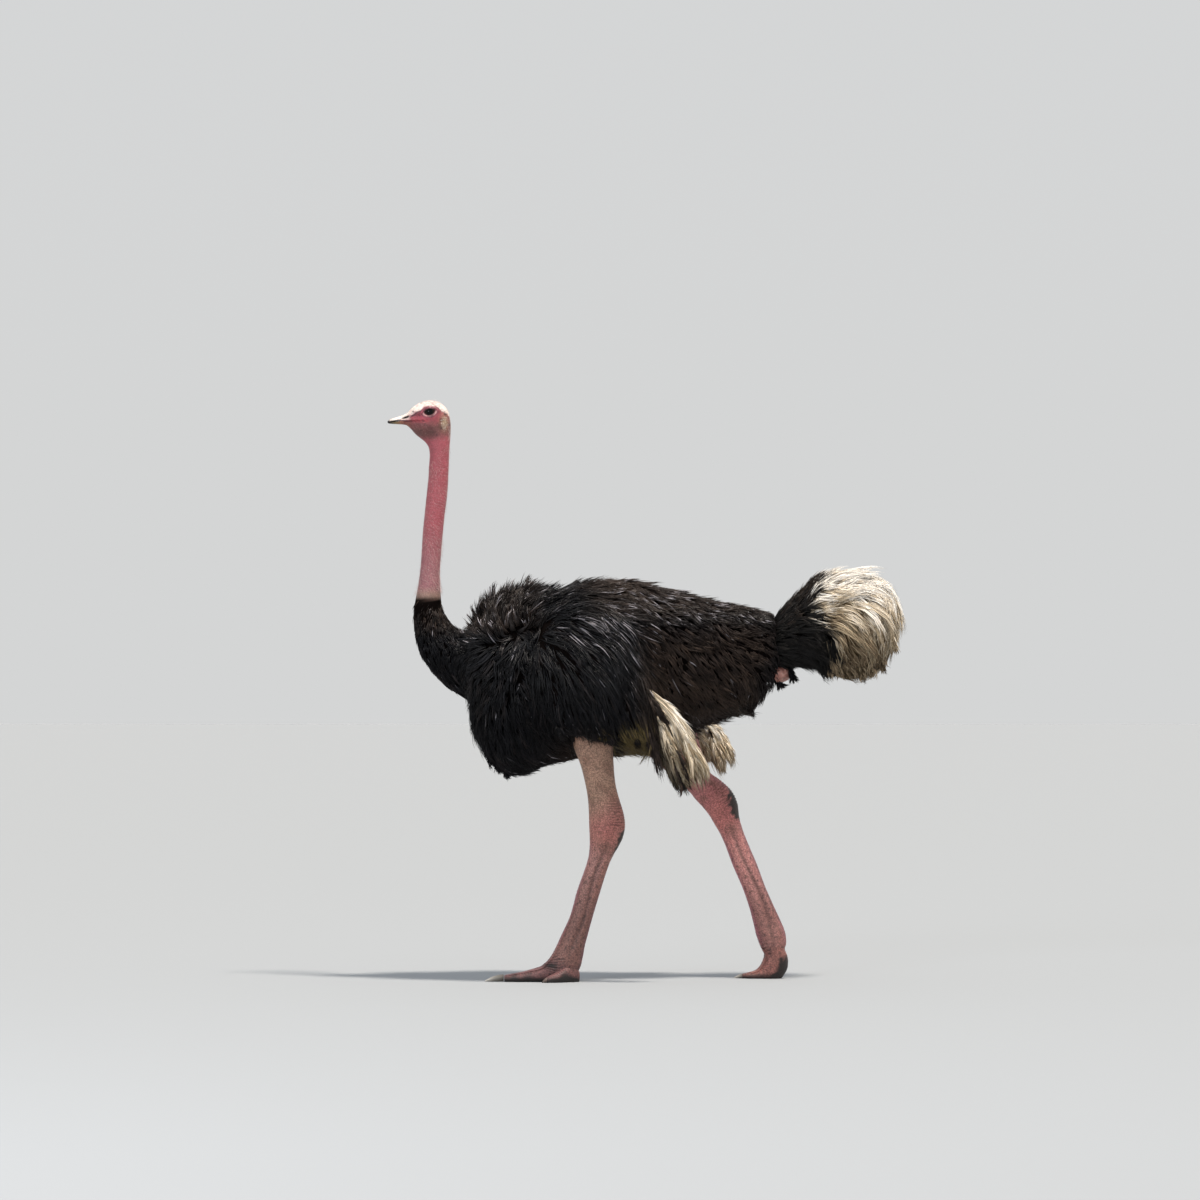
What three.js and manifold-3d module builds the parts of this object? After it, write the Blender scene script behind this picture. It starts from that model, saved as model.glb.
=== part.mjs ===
// A male Masai ostrich, life size, in mid stride: a still model for display.
// Millimetres, +Z up. The bird walks towards -X and its left side faces -Y.
// The origin lies on the ground under the middle of the bird.

import * as THREE from 'three';
import { mergeVertices } from 'three/addons/utils/BufferGeometryUtils.js';
import Module from 'manifold-3d';

const wasm = await Module();
wasm.setup();

// ---------------------------------------------------------------- driving dimensions
const GAP = 0.3;                  // clearance between neighbouring pieces

const EYE = { x: -774, y: 25.5, z: 2046, radius: 22 };
const MOUTH = { z: 2014.5, back: -846, opening: 1.2 };

const HIP_SPREAD = 150;           // drumsticks, out from the middle plane
const TRUNK_HALF_WIDTH = 243;
const WING_OUT = 232;             // middle of the folded wing, out from the middle plane
const WING_HALF_THICKNESS = 66;

const BIG_TOE = { half: 34, claw: 64, clawHalf: 12, clawHeight: 25 };
const OUTER_TOE = { length: 92, half: 21, height: 42, claw: 20, clawHalf: 8, splay: 26 };
const FRONT_JOINT = { x: -272, out: 102 };   // root of the front foot's outer toe

// Materials: colour, roughness.
const MATERIALS = {
  skin: [0xc79a86, 0.75],
  legSkin: [0xb08a78, 0.7],
  horn: [0xc9a68f, 0.45],
  lowerHorn: [0x8f7d63, 0.5],
  claw: [0x8d8983, 0.5],
  pad: [0x4a4541, 0.85],
  eye: [0x2a1a12, 0.1],
  blackFeather: [0x1d1a19, 0.8],
  whiteFeather: [0xe8dfce, 0.85],
  tailFeather: [0xc9b08c, 0.85],
};

// ---------------------------------------------------------------- body stations
// Each row is one cross-section, [back x, back z, front x, front z, half width]:
// the back point lies on the upper or rear outline, the front point on the lower or front one.

// From the tip of the bill over the crown to the top of the neck.
const HEAD = [
  [-924, 2017, -923, 2006, 9],
  [-918, 2020, -918, 2003, 14],
  [-905, 2023, -905, 2002, 17],
  [-882, 2030, -882, 2002, 19],
  [-855, 2044, -857, 1998, 22],
  [-839, 2061, -842, 1985, 27],
  [-816, 2077, -830, 1971, 34],
  [-793, 2085, -817, 1959, 41],
  [-773, 2088, -805, 1950, 45],
  [-747, 2083, -794, 1941, 44],
  [-724, 2070, -785, 1931, 41],
  [-708, 2047, -778, 1917, 38],
  [-700, 2008, -775, 1895, 35],
  [-700, 1967, -776, 1870, 34],
  [-704, 1915, -778, 1843, 33],
];

// Down the neck to the black feathers at its foot.
const NECK = [
  [-704, 1915, -778, 1843, 33],
  [-707, 1840, -779, 1815, 32],
  [-712, 1750, -786, 1748, 32],
  [-721, 1680, -793, 1680, 32],
  [-728, 1610, -800, 1610, 32],
  [-734, 1540, -804, 1540, 31],
  [-738, 1480, -809, 1478, 33],
  [-738, 1430, -816, 1424, 37],
  [-734, 1381, -827, 1370, 43],
  [-727, 1345, -837, 1312, 50],
  [-709, 1309, -832, 1247, 60],
  [-689, 1283, -814, 1179, 72],
  [-668, 1265, -781, 1121, 86],
  [-640, 1250, -727, 1064, 100],
  [-600, 1230, -659, 1021, 108],
  [-560, 1210, -594, 992, 104],
];

// The feathered trunk from the breast to the rump.
const TRUNK = [
  [-664, 1215, -662, 1060, 58],
  [-652, 1262, -650, 1005, 98],
  [-635, 1305, -635, 930, 132],
  [-608, 1350, -608, 858, 160],
  [-573, 1380, -570, 800, 183],
  [-528, 1407, -520, 742, 204],
  [-465, 1427, -465, 730, 221],
  [-400, 1437, -400, 745, 233],
  [-325, 1428, -325, 770, 240],
  [-235, 1435, -235, 790, TRUNK_HALF_WIDTH],
  [-125, 1450, -125, 805, TRUNK_HALF_WIDTH],
  [-30, 1445, -25, 830, 237],
  [60, 1422, 70, 862, 224],
  [145, 1400, 160, 900, 206],
  [225, 1380, 250, 932, 184],
  [305, 1365, 330, 955, 156],
  [375, 1350, 390, 985, 128],
  [430, 1338, 445, 1042, 102],
  [470, 1325, 482, 1085, 78],
];

// The tail: black coverts at its root, then one round mop of drooping plumes.
const TAIL = [
  [440, 1290, 450, 1110, 62],
  [474, 1338, 508, 1118, 76],
  [515, 1376, 560, 1130, 90],
  [560, 1415, 600, 1122, 106],
  [612, 1455, 655, 1095, 126],
  [675, 1479, 722, 1076, 142],
  [740, 1483, 785, 1080, 150],
  [805, 1472, 838, 1100, 144],
  [862, 1448, 874, 1138, 120],
  [905, 1402, 908, 1206, 82],
  [925, 1350, 926, 1272, 34],
];
const TAIL_COVERTS_END = 2.6;     // station where the black coverts give way to plumes

// The folded, drooping wing, from the shoulder to its rear edge. Two more numbers follow the
// half thickness: how far out its middle lies, and how much further in its top lies than that.
const WING = [
  [-398, 1250, -408, 1180, 16, WING_OUT - 32, 16],
  [-368, 1308, -408, 1080, 38, WING_OUT - 22, 24],
  [-305, 1350, -378, 990, 54, WING_OUT - 12, 26],
  [-215, 1370, -322, 926, 62, WING_OUT - 4, 28],
  [-120, 1350, -235, 888, WING_HALF_THICKNESS, WING_OUT, 28],
  [-38, 1272, -136, 868, 64, WING_OUT, 24],
  [8, 1168, -44, 858, 54, WING_OUT, 18],
  [34, 1052, 18, 856, 34, WING_OUT + 2, 12],
  [44, 985, 42, 892, 14, WING_OUT + 4, 6],
];

// Long plumes that hang from the wing: where each leaves it, how it bows and where it ends
// (x, z), how far out it lies, and its width.
const WHITE_PLUMES = [
  { root: [-30, 1030], bow: [140, 930], tip: [222, 704], out: 250, width: 84 },
  { root: [-30, 980], bow: [115, 880], tip: [188, 676], out: 232, width: 84 },
  { root: [-30, 930], bow: [85, 840], tip: [152, 664], out: 248, width: 80 },
  { root: [-30, 890], bow: [50, 810], tip: [118, 692], out: 234, width: 66 },
];
const BLACK_PLUMES = [
  { root: [-60, 960], bow: [30, 870], tip: [48, 742], out: 264, width: 52 },
  { root: [-80, 930], bow: [-10, 860], tip: [14, 782], out: 258, width: 52 },
  { root: [-120, 930], bow: [-70, 860], tip: [-30, 812], out: 262, width: 54 },
];
const PLUME_THICKNESS = 26;
const RIGHT_PLUME_SWING = { bow: [75, 45], tip: [70, 62] };   // the right ones swing further back

// The leg that stands in front, the left one: hip, ankle, foot.
const FRONT_LEG = [
  [-40, 1051, -256, 1051, 60, 150],
  [-83, 950, -266, 950, 64, 152],
  [-113, 857, -259, 857, 60, HIP_SPREAD],
  [-113, 781, -231, 778, 51, 137],
  [-106, 709, -214, 709, 45, 129],
  [-92, 655, -205, 655, 44, 122],
  [-78, 608, -202, 608, 46, 117],
  [-72, 565, -201, 562, 47, 112],
  [-79, 522, -199, 518, 44, 108],
  [-95, 488, -200, 475, 39, 105],
  [-117, 450, -206, 436, 34, 102],
  [-135, 407, -220, 392, 31, 99],
  [-157, 338, -243, 328, 30, 94],
  [-184, 248, -268, 238, 31, 88],
  [-204, 176, -299, 169, 35, 83],
  [-216, 130, -322, 119, 42, 80],
  [-222, 94, -338, 80, 45, 78],
];

// The leg that pushes off behind, the right one.
const REAR_LEG = [
  [83, 1106, -83, 951, 60, 150],
  [133, 1005, -40, 854, 62, 150],
  [180, 908, 25, 797, 58, 152],
  [205, 825, 94, 735, 49, 148],
  [230, 753, 158, 678, 43, 143],
  [274, 717, 187, 644, 43, 140],
  [313, 680, 214, 615, 46, 137],
  [335, 635, 236, 586, 47, 135],
  [342, 584, 256, 552, 43, 133],
  [355, 537, 275, 519, 38, 132],
  [376, 483, 297, 469, 33, 131],
  [405, 415, 320, 408, 31, 130],
  [436, 332, 353, 332, 30, 129],
  [466, 264, 376, 267, 31, 127],
  [490, 212, 391, 213, 35, 127],
  [508, 167, 403, 163, 42, 126],
  [513, 130, 415, 124, 44, 126],
];
// Stations where both legs change from drumstick to ankle and from ankle to shank.
const ANKLE_TOP = 5;
const ANKLE_END = 9.5;

// Front foot, flat on the ground: the ball with its heel pad, then the big toe. Soles reach
// a little under the ground plane, which cuts them flat.
const FRONT_BALL = [
  [-222, 94, -338, 80, 45, 78],
  [-231, 62, -362, 58, 47, 77],
  [-240, 32, -370, 30, 46, 77],
  [-256, 6, -368, 4, 42, 76],
  [-282, -12, -352, -12, 32, 76],
];
const FRONT_BIG_TOE = [
  [-335, 68, -335, -5, 37, 76],
  [-368, 57, -368, -5, 36, 75],
  [-405, 45, -405, -5, BIG_TOE.half, 73],
  [-440, 34, -440, -5, 32, 72],
  [-480, 28, -480, -5, 30, 71],
  [-508, 23, -508, -3, 22, 70],
  [-518, 18, -518, 1, 14, 70],
];
// Rear foot, pushing off: the ball is raised and the big toe bends to lie on its tip half.
const REAR_FOOT = [
  [513, 130, 415, 124, 44, 126],
  [507, 108, 421, 108, 43, 126],
  [514, 84, 431, 88, 42, 127],
  [519, 62, 429, 66, 41, 127],
  [514, 32, 424, 48, 39, 128],
  [492, -4, 414, 36, 37, 130],
  [455, -6, 402, 27, BIG_TOE.half, 131],
  [420, -6, 388, 23, 31, 132],
  [382, -5, 368, 20, 28, 133],
  [352, -2, 350, 15, 18, 134],
];
const REAR_TOE_ROOT = 3;          // station where the ball gives way to the big toe
const REAR_OUTER_TOE = [
  [478, 118, 428, 114, 19, 155],
  [486, 84, 440, 82, 20, 164],
  [482, 46, 436, 50, OUTER_TOE.half, 171],
  [466, 4, 430, 28, 19, 177],
  [440, -4, 418, 18, 16, 182],
  [412, -1, 406, 13, 9, 186],
];

// ---------------------------------------------------------------- lofting
function catmullRom(a, b, c, d, t) {
  return 0.5 * (2 * b + (c - a) * t + (2 * a - 5 * b + 4 * c - d) * t * t
    + (3 * b - a - 3 * c + d) * t * t * t);
}

/** The station at a fractional place along a list of rows. */
function stationAt(rows, place) {
  const last = rows.length - 1;
  const i = Math.min(Math.max(Math.floor(place), 0), last - 1);
  const row = (k) => rows[Math.min(Math.max(k, 0), last)];
  return rows[i].map((_, c) => catmullRom(
    row(i - 1)[c], row(i)[c], row(i + 1)[c], row(i + 2)[c], place - i));
}

/** Moves a place along the rows by a small distance in millimetres. */
function shift(rows, place, distance) {
  const mid = (s) => [(s[0] + s[2]) / 2, (s[1] + s[3]) / 2];
  const step = 0.05;
  const a = mid(stationAt(rows, place - step));
  const b = mid(stationAt(rows, place + step));
  return place + distance * 2 * step / Math.hypot(b[0] - a[0], b[1] - a[1]);
}

/**
 * Points round one station. `square` above 2 fills out the corners of the oval,
 * `bias` above 0 moves its widest place towards the back point, and `lobes` ridges it.
 */
function ring(station, { around, side = 1, grow = 0, square = 2, bias = 0, lobes = 0, ridge = 0 }) {
  const [bx, bz, fx, fz, half, out = 0, lean = 0] = station;
  const span = Math.hypot(bx - fx, bz - fz);
  const ux = (bx - fx) / span;
  const uz = (bz - fz) / span;
  const points = [];
  for (let i = 0; i < around; i++) {
    const angle = 2 * Math.PI * i / around;
    const c = Math.sign(Math.cos(angle)) * Math.abs(Math.cos(angle)) ** (2 / square);
    const s = Math.sign(Math.sin(angle)) * Math.abs(Math.sin(angle)) ** (2 / square);
    const lobe = 1 - ridge * (0.5 - 0.5 * Math.cos(lobes * angle));
    const along = (span / 2 + grow) * c * lobe;
    const wide = (half + grow) * s * (1 + bias * c) * lobe - lean * c;
    points.push([(bx + fx) / 2 + ux * along, side * (out + wide), (bz + fz) / 2 + uz * along]);
  }
  return points;
}

/** A closed indexed geometry from rings of equal count, with a pole at each end. */
function skinRings(rings, poles) {
  const around = rings[0].length;
  const positions = rings.flat();
  const triangles = [];
  for (let r = 0; r + 1 < rings.length; r++) {
    for (let i = 0; i < around; i++) {
      const j = (i + 1) % around;
      const a = r * around + i;
      const b = r * around + j;
      const c = a + around;
      const d = b + around;
      triangles.push([a, c, b], [b, c, d]);
    }
  }
  const middle = (points) => points[0].map((_, c) => points.reduce((t, p) => t + p[c], 0) / around);
  const firstPole = positions.push(poles[0] ?? middle(rings[0])) - 1;
  const lastPole = positions.push(poles[1] ?? middle(rings.at(-1))) - 1;
  const lastRing = (rings.length - 1) * around;
  for (let i = 0; i < around; i++) {
    const j = (i + 1) % around;
    triangles.push([firstPole, i, j], [lastPole, lastRing + j, lastRing + i]);
  }
  return facingOut(positions, triangles);
}

/** Builds the geometry, turning every face over if the volume comes out negative. */
function facingOut(positions, triangles) {
  const p = positions.map((q) => new THREE.Vector3(...q));
  const cross = new THREE.Vector3();
  const volume = triangles.reduce(
    (sum, [a, b, c]) => sum + p[a].dot(cross.crossVectors(p[b], p[c])), 0);
  const faces = volume < 0 ? triangles.map(([a, b, c]) => [a, c, b]) : triangles;
  const geometry = new THREE.BufferGeometry();
  geometry.setAttribute('position', new THREE.Float32BufferAttribute(positions.flat(), 3));
  geometry.setIndex(faces.flat());
  return geometry;
}

/** A stretch of a body between two places along its rows, `steps` rings to a row. */
function loft(rows, { from = 0, to = rows.length - 1, steps = 1, poles = [], ...shape }) {
  const places = [from];
  for (let k = Math.floor(from * steps) + 1; k < to * steps; k++) {
    const place = k / steps;
    if (place - from > 0.3 / steps && to - place > 0.3 / steps) places.push(place);
  }
  places.push(to);
  return skinRings(places.map((place) => ring(stationAt(rows, place), shape)), poles);
}

// ---------------------------------------------------------------- joining and cutting
function solid(geometry) {
  const bare = geometry.clone();
  bare.deleteAttribute('normal');
  bare.deleteAttribute('uv');
  const merged = mergeVertices(bare, 1e-4);
  return new wasm.Manifold(new wasm.Mesh({
    numProp: 3,
    vertProperties: new Float32Array(merged.attributes.position.array),
    triVerts: new Uint32Array(merged.index.array),
  }));
}

/** The largest single body of a solid, as a three.js geometry. */
function toGeometry(manifold) {
  const bodies = manifold.decompose().sort((a, b) => b.volume() - a.volume());
  const mesh = bodies[0].getMesh();
  const geometry = new THREE.BufferGeometry();
  geometry.setAttribute('position', new THREE.Float32BufferAttribute(mesh.vertProperties, 3));
  geometry.setIndex([...mesh.triVerts]);
  return geometry;
}

const cut = (geometry, ...tools) => toGeometry(
  tools.reduce((left, tool) => left.subtract(solid(tool)), solid(geometry)));

const join = (geometries) => geometries.slice(1).reduce(
  (whole, next) => whole.add(solid(next)), solid(geometries[0]));

function box(x0, x1, y0, y1, z0, z1) {
  return new THREE.BoxGeometry(x1 - x0, y1 - y0, z1 - z0)
    .translate((x0 + x1) / 2, (y0 + y1) / 2, (z0 + z1) / 2);
}

// ---------------------------------------------------------------- the model
const bird = new THREE.Group();

function add(name, geometry, material) {
  const [color, roughness] = MATERIALS[material];
  const mesh = new THREE.Mesh(
    geometry, new THREE.MeshStandardMaterial({ color, roughness, metalness: 0, flatShading: true }));
  mesh.name = name;
  bird.add(mesh);
}

// Head and bill are one loft: the eyes are let into it and the bill is split at the mouth.
const headShape = { around: 18, square: 2.15, bias: 0.04 };
const headEnd = HEAD.length - 1;
const wholeHead = loft(HEAD, { ...headShape, poles: [[-926, 0, 2011]], to: shift(HEAD, headEnd, -GAP / 2) });
const eyeball = (side, grow) => new THREE.SphereGeometry(EYE.radius + grow, 14, 8)
  .translate(EYE.x, side * EYE.y, EYE.z);
const frontOf = (x, z0, z1) => box(x - 200, x, -100, 100, z0, z1);
const keep = (geometry, block) => toGeometry(solid(geometry).intersect(solid(block)));

add('bill_upper', keep(wholeHead, frontOf(MOUTH.back, MOUTH.z, 2200)), 'horn');
add('bill_lower', keep(wholeHead, frontOf(MOUTH.back, 1900, MOUTH.z - MOUTH.opening)), 'lowerHorn');
add('head', cut(wholeHead, frontOf(MOUTH.back + GAP, 1900, 2200), eyeball(1, GAP), eyeball(-1, GAP)), 'skin');
add('eye_left', eyeball(-1, 0), 'eye');
add('eye_right', eyeball(1, 0), 'eye');

// Trunk.
const trunkShape = { around: 28, square: 2.25, bias: 0.03 };
const trunk = (grow) => loft(TRUNK, { ...trunkShape, grow, poles: [[-668 - grow, 0, 1140], [484 + grow, 0, 1205]] });
add('trunk', trunk(0), 'blackFeather');

// Neck: two bare lengths, then the black feathered foot, which the trunk cuts.
const neckShape = { around: 16 };
const neckPiece = (from, to) => loft(NECK, {
  ...neckShape, from: shift(NECK, from, GAP / 2), to: shift(NECK, to, -GAP / 2) });
add('neck_upper', neckPiece(0, 4), 'skin');
add('neck_lower', neckPiece(4, 8), 'skin');
add('neck_base', cut(neckPiece(8, NECK.length - 1), trunk(GAP)), 'blackFeather');

// Tail: the coverts wrap the end of the rump, the plume mop follows.
const tailShape = { around: 26, square: 2.2, lobes: 13, ridge: 0.07 };
const tailPiece = (from, to, extra) => loft(TAIL, {
  ...tailShape, from, to, poles: [undefined, [931, 0, 1308]], ...extra });
add('tail_coverts', cut(
  tailPiece(0, shift(TAIL, TAIL_COVERTS_END, -GAP / 2), { poles: [], ridge: 0.03 }), trunk(GAP)), 'blackFeather');
add('tail_plume', tailPiece(shift(TAIL, TAIL_COVERTS_END, GAP / 2), TAIL.length - 1), 'tailFeather');

// Legs, wings and plumes come in pairs. `side` is -1 on the left, 1 on the right.
const wing = (side, grow) => loft(WING, { around: 16, side, grow, square: 2.1 });
const ground = box(-1000, 1000, -500, 500, -100, 0);
const ballShape = { around: 14, square: 2.4 };
const toeShape = { around: 12, square: 2.5 };

/** A claw that points along -X from its root, drooping to the ground. */
function claw({ x, out, length, half, height, side }) {
  const rows = [0, 0.35, 0.7, 1].map((t) => {
    const top = 1 + (height - 1) * Math.cos(t * Math.PI / 2) ** 0.8;
    return [x - length * t, Math.max(top, 3), x - length * t, 0, half * (1 - 0.85 * t ** 1.5), out];
  });
  return loft(rows, { around: 8, side });
}

/** Turns a piece about an upright line, outwards by `degrees`. */
function splay(geometry, { x, out }, side, degrees) {
  return geometry.translate(-x, -side * out, 0)
    .rotateZ(-side * THREE.MathUtils.degToRad(degrees))
    .translate(x, side * out, 0);
}

function frontFoot(side, grow) {
  const outerRows = [0.1, 0.4, 0.65, 0.85, 1].map((t) => {
    const x = FRONT_JOINT.x - OUTER_TOE.length * t;
    const taper = 1 - 0.45 * t ** 2;
    return [x, OUTER_TOE.height * (1 - 0.45 * t), x, -4, OUTER_TOE.half * taper, FRONT_JOINT.out];
  });
  const clawRoot = { x: FRONT_JOINT.x - OUTER_TOE.length * 0.96, out: FRONT_JOINT.out };
  const ball = loft(FRONT_BALL, { ...ballShape, side, grow });
  const bigToe = loft(FRONT_BIG_TOE, { ...toeShape, side, grow });
  return {
    ball,
    bigToe,
    whole: toGeometry(join([ball, bigToe])),
    outerToe: splay(loft(outerRows, { ...toeShape, side, grow }), FRONT_JOINT, side, OUTER_TOE.splay),
    bigClaw: claw({ x: -512, out: 70, length: BIG_TOE.claw, half: BIG_TOE.clawHalf,
      height: BIG_TOE.clawHeight, side }),
    outerClaw: splay(claw({ ...clawRoot, length: OUTER_TOE.claw, half: OUTER_TOE.clawHalf,
      height: 18, side }), FRONT_JOINT, side, OUTER_TOE.splay),
  };
}

function rearFoot(side, grow) {
  const root = (distance) => shift(REAR_FOOT, REAR_TOE_ROOT, distance);
  return {
    whole: loft(REAR_FOOT, { ...toeShape, side, grow }),
    ball: loft(REAR_FOOT, { ...toeShape, side, grow, to: root(-GAP / 2) }),
    bigToe: loft(REAR_FOOT, { ...toeShape, side, grow, from: root(GAP / 2) }),
    outerToe: loft(REAR_OUTER_TOE, { ...toeShape, side, grow }),
    bigClaw: claw({ x: 356, out: 134, length: 33, half: BIG_TOE.clawHalf, height: 17, side }),
    outerClaw: claw({ x: 410, out: 186, length: 20, half: OUTER_TOE.clawHalf, height: 14, side }),
  };
}

/** The plumes of one side: those of the right wing swing further back. */
function hanging(list, side) {
  const move = (point, by) => point.map((v, c) => v + (side > 0 ? by[c] : 0));
  return list.map((blade) => ({
    ...blade,
    bow: move(blade.bow, RIGHT_PLUME_SWING.bow),
    tip: move(blade.tip, RIGHT_PLUME_SWING.tip),
  }));
}

/** A flat, bowed feather blade, broadest past its middle. */
function plume({ root, bow, tip, out, width }, side, grow) {
  const at = (t, c) => (1 - t) ** 2 * root[c] + 2 * t * (1 - t) * bow[c] + t ** 2 * tip[c];
  const rows = [0, 0.3, 0.6, 0.85, 1].map((t) => {
    const dx = (1 - t) * (bow[0] - root[0]) + t * (tip[0] - bow[0]);
    const dz = (1 - t) * (bow[1] - root[1]) + t * (tip[1] - bow[1]);
    const half = width / 2 * (0.75 + 0.5 * t) * (1 - t ** 4 * 0.8);
    const nx = -dz / Math.hypot(dx, dz) * half;
    const nz = dx / Math.hypot(dx, dz) * half;
    return [at(t, 0) + nx, at(t, 1) + nz, at(t, 0) - nx, at(t, 1) - nz,
      PLUME_THICKNESS / 2 * (1 - 0.6 * t ** 3), out];
  });
  return loft(rows, { around: 8, side, grow });
}
const plumes = (list, side, grow) => join(list.map((blade) => plume(blade, side, grow)));

for (const side of [-1, 1]) {
  const name = side < 0 ? 'left' : 'right';
  const bodyAndWing = solid(wing(side, GAP)).add(solid(trunk(GAP)));
  const blackGrown = plumes(BLACK_PLUMES, side, GAP);
  add(`wing_${name}`, cut(wing(side, 0), trunk(GAP)), 'blackFeather');
  add(`wing_quills_${name}`, toGeometry(plumes(BLACK_PLUMES, side, 0).subtract(bodyAndWing)),
    'blackFeather');
  add(`wing_plumes_${name}`, toGeometry(
    plumes(hanging(WHITE_PLUMES, side), side, 0).subtract(bodyAndWing.add(blackGrown))), 'whiteFeather');

  const leg = side < 0 ? FRONT_LEG : REAR_LEG;
  const piece = (from, to, around) => loft(leg, { around, side, from, to });
  const cutAt = (place, distance) => shift(leg, place, distance);
  add(`drumstick_${name}`, cut(
    piece(0, cutAt(ANKLE_TOP, -GAP / 2), 16), trunk(GAP), wing(side, GAP)), 'legSkin');
  add(`ankle_${name}`, piece(cutAt(ANKLE_TOP, GAP / 2), cutAt(ANKLE_END, -GAP / 2), 14), 'legSkin');
  add(`shank_${name}`, piece(
    cutAt(ANKLE_END, GAP / 2), cutAt(leg.length - 1, -GAP), 14), 'legSkin');

  const foot = side < 0 ? frontFoot(side, 0) : rearFoot(side, 0);
  const grown = side < 0 ? frontFoot(side, GAP) : rearFoot(side, GAP);
  add(`foot_${name}`, cut(foot.ball, ground), 'legSkin');
  add(`big_toe_${name}`, side < 0 ? cut(foot.bigToe, grown.ball, ground) : cut(foot.bigToe, ground),
    'legSkin');
  add(`outer_toe_${name}`, cut(foot.outerToe, grown.whole, ground), 'legSkin');
  add(`big_claw_${name}`, cut(foot.bigClaw, grown.bigToe), 'claw');
  add(`outer_claw_${name}`, cut(foot.outerClaw, grown.outerToe), 'claw');
}

export default bird;
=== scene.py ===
"""A life-size male ostrich in mid stride: skin, bill, eyes, claws and plumage.

Sizes in the tables are millimetres in the part's own frame: the bird walks towards -X, its
left side faces -Y, +Z is up and the floor is z = 0.  Objects are made in metres.
"""
import math

import bmesh
import bpy
import numpy as np
from mathutils import Matrix, Vector
from mathutils.bvhtree import BVHTree


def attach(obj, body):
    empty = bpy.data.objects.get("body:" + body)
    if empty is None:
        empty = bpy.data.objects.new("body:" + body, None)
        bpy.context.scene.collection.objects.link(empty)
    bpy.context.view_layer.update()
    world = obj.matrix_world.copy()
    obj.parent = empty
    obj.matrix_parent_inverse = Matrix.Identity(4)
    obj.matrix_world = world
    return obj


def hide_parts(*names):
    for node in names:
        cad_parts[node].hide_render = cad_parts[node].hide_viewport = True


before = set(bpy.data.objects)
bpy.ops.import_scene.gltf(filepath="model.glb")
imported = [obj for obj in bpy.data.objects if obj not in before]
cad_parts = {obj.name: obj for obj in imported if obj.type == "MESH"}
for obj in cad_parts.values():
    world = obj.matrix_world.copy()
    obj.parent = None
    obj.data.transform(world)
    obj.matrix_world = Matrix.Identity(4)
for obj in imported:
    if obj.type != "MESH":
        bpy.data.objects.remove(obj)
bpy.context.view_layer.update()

MM = 0.001
SIDES = {"left": -1, "right": 1}
rng = np.random.default_rng(7)


# -------- small helpers
def srgb(code):
    """An sRGB hex colour as linear RGBA."""
    parts = [int(code[i:i + 2], 16) / 255 for i in (1, 3, 5)]
    return [c / 12.92 if c <= 0.04045 else ((c + 0.055) / 1.055) ** 2.4 for c in parts] + [1.0]


def smooth(low, high, value):
    """0 below `low`, 1 above `high`, an S-curve between; works with low > high too."""
    t = np.clip((value - low) / (high - low), 0, 1)
    return t * t * (3 - 2 * t)


def unit(vectors):
    """The same directions, each of length 1."""
    return vectors / np.maximum(np.linalg.norm(vectors, axis=-1, keepdims=True), 1e-9)


def mix(a, b, amount):
    """`a` at amount 0, `b` at amount 1."""
    return a + (b - a) * amount


def mesh_object(name, points, faces):
    """A mesh object from points in millimetres and faces as index tuples or one index array."""
    mesh = bpy.data.meshes.new(name)
    if isinstance(faces, np.ndarray):
        fill_mesh(mesh, points, faces)
    else:
        mesh.from_pydata([tuple(p) for p in np.asarray(points) * MM], [], faces)
    mesh.validate()
    mesh.shade_smooth()
    piece = bpy.data.objects.new(name, mesh)
    bpy.context.scene.collection.objects.link(piece)
    return piece


def fill_mesh(mesh, points, faces):
    """Writes points (mm) and triangles straight into a mesh."""
    count = len(faces)
    mesh.vertices.add(len(points))
    mesh.vertices.foreach_set("co", (points * MM).astype(np.float32).ravel())
    mesh.loops.add(count * 3)
    mesh.loops.foreach_set("vertex_index", faces.astype(np.int32).ravel())
    mesh.polygons.add(count)
    mesh.polygons.foreach_set("loop_start", np.arange(0, count * 3, 3, dtype=np.int32))
    mesh.update(calc_edges=True)


def read_points(piece):
    """A mesh's points in millimetres."""
    flat = np.empty(len(piece.data.vertices) * 3, dtype=np.float32)
    piece.data.vertices.foreach_get("co", flat)
    return flat.reshape(-1, 3).astype(float) / MM


def add_attribute(piece, name, values, kind="FLOAT"):
    """Stores one value, vector or RGBA colour per point."""
    attribute = piece.data.attributes.new(name, kind, "POINT")
    field = {"FLOAT_COLOR": "color", "FLOAT_VECTOR": "vector"}.get(kind, "value")
    attribute.data.foreach_set(field, np.asarray(values, dtype=np.float32).ravel())


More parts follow.
